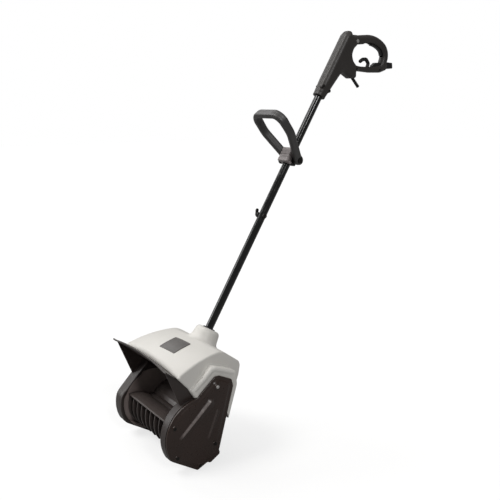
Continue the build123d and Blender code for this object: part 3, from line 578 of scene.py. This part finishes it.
skin("hood_and_neck", hood, (-158.3, -82.7, -70.3), (158.9, 163.1, 240.7), 1.7, WHITE, "machine",
     ["hood_shell", "neck_collar"])


# plain raised panel on the hood's top
PANEL_C, PANEL_T = (20.4, 3.2), math.radians(5.5)


def panel(X, Y, Z):
    rx = np.hypot(X, Z - (TOP_Z - TOP_RX)) - (TOP_RX - TOP_RY)
    top = np.hypot(rx, Y - TOP_Y) - TOP_RY
    u = (X - PANEL_C[0]) * math.cos(PANEL_T) + (Y - PANEL_C[1]) * math.sin(PANEL_T)
    v = -(X - PANEL_C[0]) * math.sin(PANEL_T) + (Y - PANEL_C[1]) * math.cos(PANEL_T)
    a, b = np.abs(u + 0.10 * v) - 31.0, np.abs(v) - 25.5
    out = np.sqrt(np.maximum(a, 0) ** 2 + np.maximum(b, 0) ** 2) + np.minimum(np.maximum(a, b), 0) - 4.0
    rise = 1.1 + 0.45 * step(-4.2, -3.0, out)
    d = smax(out, top - rise, 0.9)
    return np.maximum(d, -(top + 0.6))


skin("hood_panel", panel, (-22.3, -33.1, 183.2), (62.9, 39.6, 212.9), 0.62, PANEL, "machine", [])


# ---------------------------------------------------------------- belt cover
COVER_R = rounded([(-12.8, 98.2), (44, 146.7), (58, 146.3), (94.9, 129.0), (99.9, 109.8), (52.4, -66), (0, 0), (-40, 40)],
                  [4, 8, 10, 9, 14, 3, 0, 0], 5)


def cover2(Y, Z):
    d = smin(poly(Y, Z, COVER_R), end_disc(Y, Z, CAP_R - 0.6, REAR - 4.6, LOW - 0.6, 2.0), 5.0)
    return smin(d, poly(Y, Z, HEEL_R) + 0.6, 2.0)


def ridge(Y, Z, p, q, h0, h1, front, rear):
    """raised ridge on a face: height h0 falling to h1, its front flank front times as wide as high, its rear one rear times"""
    ey, ez = q[0] - p[0], q[1] - p[1]
    ln = math.hypot(ey, ez)
    u = ((Y - p[0]) * ey + (Z - p[1]) * ez) / ln ** 2
    off = ((Y - p[0]) * ez - (Z - p[1]) * ey) / ln
    h = h0 + (h1 - h0) * np.clip(u, 0.0, 1.0)
    fall = np.where(off > 0, off / front, -off / rear)
    ends = step(-0.10, 0.05, u) * (1.0 - step(0.85, 1.10, u))
    return np.clip(h * ends - fall, 0.0, None)


def cover(X, Y, Z):
    d2 = cover2(Y, Z)
    behind = step(28.0, 62.0, Y * 0.96 - Z * 0.28)
    face = 154.0 + 1.6 * step(0.0, 5.0, -d2) + (3.8 + 0.6 * behind) * step(3.0, 15.0 + 8.0 * behind, -d2) \
        + 0.9 * step(15.0, 46.0, -d2)
    face = face + ridge(Y, Z, (29, 87), (-63, 3), 5.4, 2.6, 1.6, 3.4)
    face = face + ridge(Y, Z, (48, 54), (18, -20), 2.6, 1.4, 1.8, 4.0)
    knoll = 1.0 - ((Y - 47) ** 2 + (Z - 121) ** 2) / 14.0 ** 2
    face = np.maximum(face, 157.0 + 5.6 * np.clip(knoll, 0.0, 1.0))
    d = smax(d2, (X - face) * 0.78, 2.0)
    boss = ext(np.hypot(Y - 47, Z - 121) - 6.0, np.abs(X - 157.0) - 5.6, 1.2)
    d = smin(d, boss, 2.0)
    for (y, z) in ((-78, 38), (-72, -44), (-6, -84), (40, -36)):
        d = smin(d, ext(np.hypot(Y - y, Z - z) - 5.3, np.abs(X - 156.5) - 4.0, 0.7), 2.0)
    return smax(d, 152.0 - X, 0.6)


skin("belt_cover_skin", cover, (150.3, -105.1, -104.3), (167.2, 104.7, 151.1), 0.95, COVER, "machine",
     ["belt_cover"])


# ---------------------------------------------------------------- left end plate and its lid
def cap_left(X, Y, Z):
    d2 = left_disc(Y, Z, 0.0, 5.0)
    d = ext(d2, np.abs(X + 136.0) - 14.0, 4.2)
    inner = smax(end_disc(Y, Z, CAP_R - 4, REAR - 4, LOW - 4, 4.0), -0.7156 * Y + 0.6985 * Z - 88.0, 4.0)
    d = smax(d, -np.maximum(inner, X + 148.2), 0.8)
    brim = ext(np.maximum(d2, -(d2 + 10.0)), np.abs(X + 120.0) - 8.0, 2.4)
    brim = smax(brim, 0.5 * Y - 0.866 * Z - 78.0, 3.0)
    d = smin(d, smax(brim, Y + 14.0, 3.0), 1.6)
    return np.maximum(d, -(np.hypot(Y, Z) - 6.6))


skin("end_cap_left_skin", cap_left, (-153.1, -105.3, -104.1), (-108.4, 92.6, 121.9), 1.05, PLATE, "machine",
     ["end_cap_left"])


def lid_left(X, Y, Z):
    d2 = smax(end_disc(Y, Z, CAP_R - 4.3, REAR - 4.3, LOW - 4.3, 4.0), -0.7156 * Y + 0.6985 * Z - 87.7, 4.0)
    rho, ang = np.hypot(Y, Z), np.arctan2(Z, Y)
    dome = 148.9 + 1.9 * step(0.0, 14.0, -d2)
    ring = np.exp(-((rho - 34.0) / 3.0) ** 2) * 1.3
    spokes = np.zeros_like(rho)
    for a in (20, 92, 164, 236, 308):
        u = np.abs((ang - math.radians(a) + math.pi) % (2 * math.pi) - math.pi) * rho
        spokes = np.maximum(spokes, np.exp(-(u / 3.2) ** 2) * step(36.0, 42.0, rho) * (1 - step(70.0, 78.0, rho)))
    hub = 1.6 * (1 - step(15.0, 19.0, rho))
    d = smax(d2, -X - (dome + ring + 1.2 * spokes + hub), 1.0)
    return smax(d, X + 148.0, 0.5)


skin("end_lid_left_skin", lid_left, (-155.6, -100.3, -99.1), (-146.3, 92.6, 98.9), 0.95, BLACK, "machine",
     ["end_lid_left"])

# ---------------------------------------------------------------- rear handle halves
HB = [sh(-17, S_HANDLE - 40), sh(16, S_HANDLE - 40), sh(17.5, S_HANDLE + 6), sh(24, 800), sh(32, 844), (616, 905), (640, 906), (640, 925),
      (652, 927), (700, 924), (742, 925), (766, 933), (771, 950), (752, 950), (700, 940.5), (660, 941),
      (640, 944), (626, 955), (620, 972), (627, 990), (642, 1000), (642, 1028), (622, 1029), sh(-1, 960),
      sh(-10, 956), sh(-16, 940)]
HB_R = rounded(HB, [5, 5, 40, 40, 12, 6, 6, 4, 12, 30, 25, 7, 4, 20, 30, 20, 14, 16, 18, 16, 12, 4, 6, 7, 9, 16], 5)
GRIP_B = (GRIP_A[0] + (GRIP_RA - GRIP_RB) * math.cos(math.radians(GRIP_TURN)),
          GRIP_A[1] + (GRIP_RA - GRIP_RB) * math.sin(math.radians(GRIP_TURN)))


def on(c, r, deg):
    return (c[0] + r * math.cos(math.radians(deg)), c[1] + r * math.sin(math.radians(deg)))


def grip_line(y0):
    p = on(GRIP_A, GRIP_RA, ALPHA)
    line = [(y0, p[1] - (p[0] - y0) * math.tan(math.radians(ALPHA - 90)))]
    line += [on(GRIP_A, GRIP_RA, a) for a in np.linspace(ALPHA, GRIP_TURN, 16)]
    line += [on(GRIP_B, GRIP_RB, a) for a in np.linspace(GRIP_TURN, -20, 22)[1:]]
    q = line[-1]
    return line + [(q[0] + 13 * math.sin(math.radians(-20)), q[1] - 13 * math.cos(math.radians(-20)))]


def sector(Y, Z, c, r0, r1, a0, a1):
    """flat ring sector, by distance"""
    rho = np.hypot(Y - c[0], Z - c[1])
    mid, half = math.radians((a0 + a1) / 2), math.radians((a1 - a0) / 2)
    ang = np.abs((np.arctan2(Z - c[1], Y - c[0]) - mid + math.pi) % (2 * math.pi) - math.pi)
    return np.maximum(np.abs(rho - (r0 + r1) / 2) - (r1 - r0) / 2, (ang - half) * rho)


def inside_grip(Y, Z, d0, d1, first, last):
    return np.minimum(sector(Y, Z, GRIP_A, GRIP_RA - d1, GRIP_RA - d0, GRIP_TURN - 0.5, first),
                      sector(Y, Z, GRIP_B, GRIP_RB - d1, GRIP_RB - d0, last, GRIP_TURN + 0.5))


GRIP_PATH, CORE_PATH = grip_line(612.0), grip_line(616.0)
HANDLE_SCREWS = ((*sh(13.5, 768), 20.0), (*sh(-13.4, 768), 20.0), (633, 933, 20.0), (736, 932.5, 11.5))
CAV = rounded([sh(-13.5, 788), sh(21, 788), sh(30, 845), (617, 921), (616, 972), (622, 992), (640, 1004), (640, 1021),
               (622, 1024), sh(-1, 953), sh(-11, 945), sh(-13.5, 935)], 4, 4)


def handle(X, Y, Z):
    ax = np.abs(X)
    n, s = shaft_ns(Y, Z)
    foot = 1 - step(S_HANDLE, 800.0, s)
    w = 20.0 - 8.6 * step(626.0, 656.0, Y) - 2.5 * foot
    d = ext(poly(Y, Z, HB_R), ax - w, 15.0 - 7.0 * step(628.0, 660.0, Y))
    g = chain(Y, Z, GRIP_PATH)
    d = smin(d, np.sqrt(g ** 2 + (X * 1.02) ** 2) - GRIP_RAD, 8.0)
    for (y, z, x) in HANDLE_SCREWS:
        d = smin(d, ext(np.hypot(Y - y, Z - z) - 5.0, np.abs(X - x + 6.0) - 5.2, 1.2), 4.0)
    d = d + 0.6 * np.exp(-((s - 751.0) / 0.8) ** 2)
    d = smax(d, S_HANDLE - s, 2.0)
    d = d + 0.45 * np.exp(-(X / 0.8) ** 2)
    cav = np.maximum(poly(Y, Z, CAV), ax - 14.0)
    cav = np.minimum(cav, np.sqrt(chain(Y, Z, CORE_PATH) ** 2 + X ** 2) - (GRIP_RAD - 3.2))
    cav = np.maximum(cav, d + 2.4)
    d = np.maximum(d, -cav)
    slot = np.maximum(inside_grip(Y, Z, 1.0, 19.0, 104, -9), ax - 6.6)
    d = smax(d, -slot, 1.0)
    d = np.maximum(d, -np.maximum(np.hypot(X, n) - 11.1, s - 852.3))
    d = smax(d, -np.maximum(np.hypot(Y - 634.0, Z - 1012.0) - 6.2, 9.4 - X), 1.0)
    for (y, z, x) in HANDLE_SCREWS:
        d = smax(d, -np.maximum(np.hypot(Y - y, Z - z) - 3.6, x - 3.2 - X), 0.7)
    hook = np.maximum(np.abs(X) - 7.3, poly(Y, Z, TAIL_HOLE))
    d = smax(d, -hook, 0.6)
    u = (Y - 624.0) * 0.6936 - (Z - 916.4) * 0.7205
    v = (Y - 624.0) * 0.7205 + (Z - 916.4) * 0.6936
    gl = np.hypot(X, v)
    d = np.maximum(d, -np.maximum(gl - np.where(np.abs(u - 3.0) < 2.2, 7.1, 4.8), -(u + 14.0)))
    return d


TAIL_HOLE = [(711.7, 935.7), (708.7, 945), (721.8, 954.4), (752, 953.9), (764, 957.4), (793, 956), (796, 938), (766, 935.6)]


def half_handle(sign):
    def f(X, Y, Z):
        return smax(handle(X, Y, Z), 0.1 - sign * X, 0.5)
    return f


skin("handle_left_skin", half_handle(1), (-1.1, 480.1, 833.3), (22.3, 800.2, 1050.9), 1.0, GRIP, "machine",
     ["handle_shell_left"])
skin("handle_right_skin", half_handle(-1), (-22.3, 480.1, 833.3), (1.2, 800.2, 1050.9), 1.0, GRIP, "machine",
     ["handle_shell_right"])

# ---------------------------------------------------------------- front bail and its clamp
BPY, BPZ = sh(BAIL_N, S_CLAMP)
DY, DZ = math.cos(math.radians(BAIL_DEG)), math.sin(math.radians(BAIL_DEG))
BAIL_LINE = rounded([(21.7, 0), (60.5, 98), (58.5, BAIL_OUT), (-58.5, BAIL_OUT), (-60.5, 98), (-21.7, 0)],
                    [0, 60, 29, 29, 60, 0], 12)


def bail(X, Y, Z):
    out = (Y - BPY) * DY + (Z - BPZ) * DZ
    nrm = -(Y - BPY) * DZ + (Z - BPZ) * DY
    c = chain(X, out, BAIL_LINE)
    grip = step(112.0, 150.0, out)
    wide, thick = 12.5 + 0.3 * grip, 7.5 + 1.3 * grip
    a, b = c - (thick - 6.4), np.abs(nrm) - (wide - 6.4)
    d = np.sqrt(np.maximum(a, 0) ** 2 + np.maximum(b, 0) ** 2) + np.minimum(np.maximum(a, b), 0) - 6.4
    d = d + 0.35 * np.exp(-(nrm / 0.7) ** 2)
    rho = np.hypot(Y - BPY, Z - BPZ)
    d = smin(d, ext(rho - 13.0, np.abs(np.abs(X) - 21.75) - 7.5, 2.0), 5.0)
    d = np.maximum(d, -np.maximum(rho - 20.0, np.abs(X) - 14.2))
    d = np.maximum(d, -np.maximum(rho - 9.0, 29.4 - np.abs(X)))
    return np.maximum(d, -(rho - 3.1))


skin("bail_skin", bail, (-72.3, 300.1, 655.2), (72.9, 430.8, 826.9), 0.95, BAIL, "bail", ["bail_handle"])


FRONT_X = rounded([(-13.4, 0.1), (13.4, 0.1), (15, -4), (23, -17), (21, -22), (-21, -22), (-23, -17), (-15, -4)],
                  [0, 0, 2, 4, 4, 4, 4, 2], 5)
REAR_X = rounded([(-13.4, 0.5), (13.4, 0.5), (13.4, 18), (9, 23.5), (-9, 23.5), (-13.4, 18)], [0, 0, 3, 3, 3, 3], 5)


def flange(X, n, s, n0, n1):
    return ext(np.maximum(np.abs(X) - 18.6, np.abs(n - (n0 + n1) / 2) - (n1 - n0) / 2),
               np.abs(np.abs(s - S_CLAMP) - 18.25) - 3.75, 1.4)


def clamp_front(X, Y, Z):
    n, s = shaft_ns(Y, Z)
    d = ext(poly(X, n, FRONT_X), np.abs(s - S_CLAMP) - 22.0, 4.0)
    for k in (-9.0, 0.0, 9.0):
        d = smax(d, -np.maximum(np.maximum(np.abs(s - S_CLAMP - k) - 1.2, -(d + 1.0)), n + 12.0), 0.8)
    d = smin(d, flange(X, n, s, -7.0, 0.1), 1.5)
    d = np.maximum(d, n - 0.1)
    return np.maximum(d, -(np.hypot(X, n) - 11.15))


def clamp_rear(X, Y, Z):
    n, s = shaft_ns(Y, Z)
    d = ext(poly(X, n, REAR_X), np.abs(s - S_CLAMP) - 17.0, 2.5)
    d = smin(d, flange(X, n, s, 0.5, 7.0), 1.5)
    for x in (-15.0, 15.0):
        for k in (-18.2, 18.2):
            d = smax(d, -np.maximum(np.hypot(X - x, s - S_CLAMP - k) - 3.7, 7.0 - n), 0.4)
    d = np.maximum(d, 0.5 - n)
    d = np.maximum(d, -(np.hypot(Y - BPY, Z - BPZ) - 3.1))
    return np.maximum(d, -(np.hypot(X, n) - 11.15))


skin("bail_clamp_front_skin", clamp_front, (-25.2, 367.3, 658.2), (25.9, 415.3, 718.9), 0.7, CLAMP_PAINTED_HIGHLIGHT, "bail_clamp",
     ["bail_clamp_front"])
skin("bail_clamp_rear_skin", clamp_rear, (-20.6, 384.3, 646.2), (21.1, 434.9, 705.9), 0.7, DARK, "bail_clamp",
     ["bail_clamp_rear"])


def knob(X, Y, Z):
    y, z = Y - BPY, Z - BPZ
    rho, ang = np.hypot(y, z), np.arctan2(z, y)
    lobes = 16.2 + 3.2 * np.cos(3 * (ang - math.pi / 2))
    d = ext((rho - lobes) * 0.9, np.abs(X + 45.0) - 5.0, 2.4)
    d = smin(d, ext(rho - 7.5, np.abs(X + 35.5) - 5.9, 0.8), 2.5)
    d = smax(d, -np.maximum(rho - 8.0, X + 49.3), 0.8)
    return np.maximum(d, -np.maximum(rho - 3.08, -(X + 46.5)))


skin("bail_knob_skin", knob, (-52.1, BPY - 24.1, BPZ - 24.2), (-28.2, BPY + 24.4, BPZ + 24.8), 0.62, DARK, "knob",
     ["bail_knob"])

BY, BZ = sh(-2.0, S_BOLT)
WING = [rounded([sh(-2 - k * 2.0, S_BOLT - k * 3.0), sh(-2 - k * 4.2, S_BOLT + k * 12.5), sh(-2 - k * 8.5, S_BOLT + k * 16),
                 sh(-2 - k * 13.5, S_BOLT + k * 13), sh(-2 - k * 13.5, S_BOLT + k * 8), sh(-2 - k * 6.5, S_BOLT - k * 5)], 3.0, 5)
        for k in (1, -1)]


def wing_nut(X, Y, Z):
    rho = np.hypot(Y - BY, Z - BZ)
    d = ext(rho - (6.4 + 0.2 * np.clip(-(X + 12.0), 0, 9)), np.abs(X + 16.3) - 4.2, 0.9)
    for w in WING:
        d = smin(d, ext(poly(Y, Z, w), np.abs(X + 18.8) - 2.2, 1.5), 2.6)
    n, s = shaft_ns(Y, Z)
    d = np.maximum(d, -(np.hypot(X, n) - 11.35))
    return np.maximum(d, -(rho - 3.08))


skin("wing_nut_skin", wing_nut, (-22.6, BY - 22.1, BZ - 26.1), (-9.3, BY + 22.3, BZ + 26.5), 0.6, DARK, "wing_nut",
     ["joint_wing_nut"])

# ---------------------------------------------------------------- cord hook
HOOK_LINE = rounded([(690, 934), (697, 951), (687, 963), (673, 962), (664, 956.5)], [0, 6, 6, 6, 0], 7)
TAIL = rounded([(712, 936), (709, 945), (722, 954), (752, 953.5), (764, 957), (793, 955.5), (795, 938.5), (766, 936)],
               [2, 3, 6, 8, 8, 3, 3, 6], 5)


def hook(X, Y, Z):
    d = np.sqrt(chain(Y, Z, HOOK_LINE) ** 2 + X ** 2) - 5.4
    d = smin(d, ext(poly(Y, Z, TAIL), np.abs(X) - 7.0, 1.8), 1.5)
    base = ext(np.maximum(np.abs(Y - 698) - 16, np.abs(Z - 936) - 4), np.abs(X) - 7.0, 1.0)
    return smin(d, base, 3.0)


skin("cord_hook_skin", hook, (-8.6, 655.1, 928.2), (9.1, 798.9, 970.9), 0.8, DARK, "machine", ["cord_hook"])


# ---------------------------------------------------------------- CAD pieces kept as they are, with eased edges
def dress(name, material, ease=0.0, seg=2):
    o = NODES[name]
    o.data.materials.clear()
    o.data.materials.append(material)
    if ease > 0:
        w = o.modifiers.new("joined", "WELD")
        w.merge_threshold = 2e-5
        b = o.modifiers.new("eased", "BEVEL")
        b.width = ease / 1000.0
        b.segments = seg
        b.limit_method = "ANGLE"
        b.angle_limit = math.radians(38)
        b.harden_normals = False
        n = o.modifiers.new("shade", "WEIGHTED_NORMAL")
        n.keep_sharp = True


for name, mat, ease in (
        ("neck_seal", RUBBER, 0.5), ("neck_screw", OXIDE, 0.3), ("throw_chamber", CHAMBER, 0.7),
        ("end_wall_right", END_WALL_PAINTED_SHADE, 0.9), ("cover_screws", ZINC, 0.3), ("scraper_blade", BLADE, 0.5),
        ("scraper_screws", OXIDE, 0.3), ("rotor_shaft", STEEL, 0.4), ("rotor_hub", ROTOR, 0.4),
        ("rotor_paddle_a", ROTOR, 0.6), ("rotor_paddle_b", ROTOR, 0.6), ("rotor_bearing_left", STEEL, 0.3),
        ("rotor_bearing_right", STEEL, 0.3), ("rotor_pulley", BLACK, 0.4), ("motor_pulley", STEEL, 0.3),
        ("drive_belt", RUBBER, 0.3), ("motor_can", IRON, 0.4), ("motor_bearing_rear", STEEL, 0.3),
        ("motor_bearing_drive", STEEL, 0.3), ("motor_armature", COPPER, 0.3), ("motor_fan", BLACK, 0.3),
        ("motor_bracket", IRON, 0.4), ("tube_lower", TUBE, 0.0), ("tube_upper", TUBE, 0.0),
        ("tube_sleeve", STEEL, 0.0), ("tube_rivet", OXIDE, 0.3), ("joint_bolt", OXIDE, 0.4),
        ("supply_lead_inner", RUBBER, 0.0), ("bail_clamp_screws", OXIDE, 0.3), ("bail_bolt", OXIDE, 0.4),
        ("handle_screws", OXIDE, 0.2), ("trigger", DARK, 1.0), ("trigger_pin", STEEL, 0.2),
        ("trigger_spring", STEEL, 0.0), ("switch_body", BLACK, 0.5), ("switch_plunger", BUTTON_PAINTED_HIGHLIGHT, 0.3),
        ("lock_button", BUTTON_PAINTED_HIGHLIGHT, 0.0), ("lock_spring", STEEL, 0.0), ("cable_entry", RUBBER, 0.3)):
    dress(name, mat, ease)


# ---------------------------------------------------------------- rolled edge along the lip
def tube_mesh(name, line, r, material, body, n=14):
    """round bar along a line, its two ends domed and closed"""
    line = np.array(line, float)
    rings = [(0, 0.12), (0, 0.55), (0, 0.86)] + [(i, 1.0) for i in range(len(line))] + [(-1, 0.86), (-1, 0.55), (-1, 0.12)]
    pts, quads = [], []
    for i, k in rings:
        i = i % len(line)
        t = line[min(i + 1, len(line) - 1)] - line[max(i - 1, 0)]
        t /= np.linalg.norm(t)
        a = np.cross(t, (0, 0, 1.0))
        a /= np.linalg.norm(a)
        b = np.cross(t, a)
        side = -1.0 if i == 0 else 1.0
        c = line[i] + t * side * r * math.sqrt(1 - k * k)
        for j in range(n):
            q = 2 * math.pi * j / n
            pts.append(c + r * k * (a * math.cos(q) + b * math.sin(q)))
    m = len(rings) - 1
    for i in range(m):
        for j in range(n):
            quads.append((i * n + j, i * n + (j + 1) % n, (i + 1) * n + (j + 1) % n, (i + 1) * n + j))
    for j in range(n // 2 - 1):
        quads.append((n - 1 - j, n - 2 - j, j + 1, j))
        quads.append((m * n + j, m * n + j + 1, m * n + n - 2 - j, m * n + n - 1 - j))
    ob = mesh_object(name, np.array(pts), np.array(quads), material)
    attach(ob, body)
    return ob


lip = []
for x in np.linspace(-154.2, 154.2, 61):
    rise = LIP_CROWN * max(1 - (x / 142.0) ** 2, 0.0)
    y, z = L(87.5 + rise, TAN - 0.8)
    lip.append((x, y, z))
tube_mesh("lip_rolled_edge", lip, 2.3, BLACK, "machine")

# ---------------------------------------------------------------- stage, light, camera
FLOOR_Z = (-98.2 - OZ) / 1000.0
fm, fnt, fb = new_mat("floor_pale")
fpos = node(fnt, "ShaderNodeTexCoord").outputs["Object"]
fcol = mixed(fnt, noise(fnt, fpos, 3.0, 3.0), (0.92, 0.92, 0.92), (0.95, 0.95, 0.95))
fnt.links.new(fcol, fb.inputs["Base Color"])
fb.inputs["Roughness"].default_value = 0.9
fb.inputs["Specular IOR Level"].default_value = 0.1
dim = node(fnt, "ShaderNodeBsdfDiffuse")
dim.inputs["Color"].default_value = (0.30, 0.30, 0.30, 1.0)
seen = node(fnt, "ShaderNodeLightPath")
either = node(fnt, "ShaderNodeMixShader")
fnt.links.new(seen.outputs["Is Camera Ray"], either.inputs[0])
fnt.links.new(dim.outputs["BSDF"], either.inputs[1])
glow = node(fnt, "ShaderNodeEmission")
glow.inputs["Strength"].default_value = 1.05
pale = node(fnt, "ShaderNodeMixShader")
pale.inputs[0].default_value = 0.68
fnt.links.new(fb.outputs["BSDF"], pale.inputs[1])
fnt.links.new(glow.outputs["Emission"], pale.inputs[2])
fnt.links.new(pale.outputs["Shader"], either.inputs[2])
fnt.links.new(either.outputs["Shader"], fnt.nodes["Material Output"].inputs["Surface"])
me = bpy.data.meshes.new("floor")
R = 14.0
me.from_pydata([(-R, -R, FLOOR_Z), (R, -R, FLOOR_Z), (R, R, FLOOR_Z), (-R, R, FLOOR_Z)], [], [(0, 1, 2, 3)])
me.materials.append(fm)
floor = bpy.data.objects.new("floor", me)
bpy.context.scene.collection.objects.link(floor)

AZ, EL = 0.96459, 0.20811
back = Vector((math.sin(AZ) * math.cos(EL), -math.cos(AZ) * math.cos(EL), math.sin(EL)))
right = Vector((math.cos(AZ), math.sin(AZ), 0.0))
up = back.cross(right)
eye = (right * 214.669 + up * 447.338 + back * 1905.467 - Vector((0, OY, OZ))) / 1000.0
cam = bpy.data.cameras.new("camera")
cam.sensor_width = 36.0
cam.lens = 36.0 * 692.258 / 500.0
cam.clip_start, cam.clip_end = 0.05, 100.0
camera = bpy.data.objects.new("camera", cam)
camera.matrix_world = Matrix((
    (right.x, up.x, back.x, eye.x), (right.y, up.y, back.y, eye.y), (right.z, up.z, back.z, eye.z), (0, 0, 0, 1)))
bpy.context.scene.collection.objects.link(camera)
bpy.context.scene.camera = camera


def sun(name, toward, strength, angle, colour=(1, 1, 1)):
    d = bpy.data.lights.new(name, "SUN")
    d.energy = strength
    d.angle = math.radians(angle)
    d.color = colour
    o = bpy.data.objects.new(name, d)
    o.rotation_mode = "QUATERNION"
    o.rotation_quaternion = Vector(toward).to_track_quat("Z", "Y")
    o.location = (0.0, -1.5, 2.0)
    bpy.context.scene.collection.objects.link(o)
    return o


sun("key", (-0.16, -0.52, 0.84), 1.4, 24.0, (1.0, 0.99, 0.97))
sun("left", (-0.62, -0.70, 0.36), 1.0, 26.0)
sun("side", (-0.80, -0.05, 0.59), 0.65, 40.0)
sun("top", (0.05, -0.10, 1.0), 0.3, 60.0)
sun("fill", (0.805, -0.15, 0.575), 0.92, 12.0)

world = bpy.data.worlds.new("studio")
bpy.context.scene.world = world
world.use_nodes = True
wnt = world.node_tree
bg = wnt.nodes["Background"]
lp = node(wnt, "ShaderNodeLightPath")
pick = node(wnt, "ShaderNodeMix", data_type="FLOAT")
wnt.links.new(lp.outputs["Is Camera Ray"], pick.inputs["Factor"])
pick.inputs["A"].default_value = 0.18
pick.inputs["B"].default_value = 1.0
wnt.links.new(pick.outputs["Result"], bg.inputs["Strength"])
bg.inputs["Color"].default_value = (1, 1, 1, 1)
bpy.context.scene.view_settings.view_transform = "Standard"
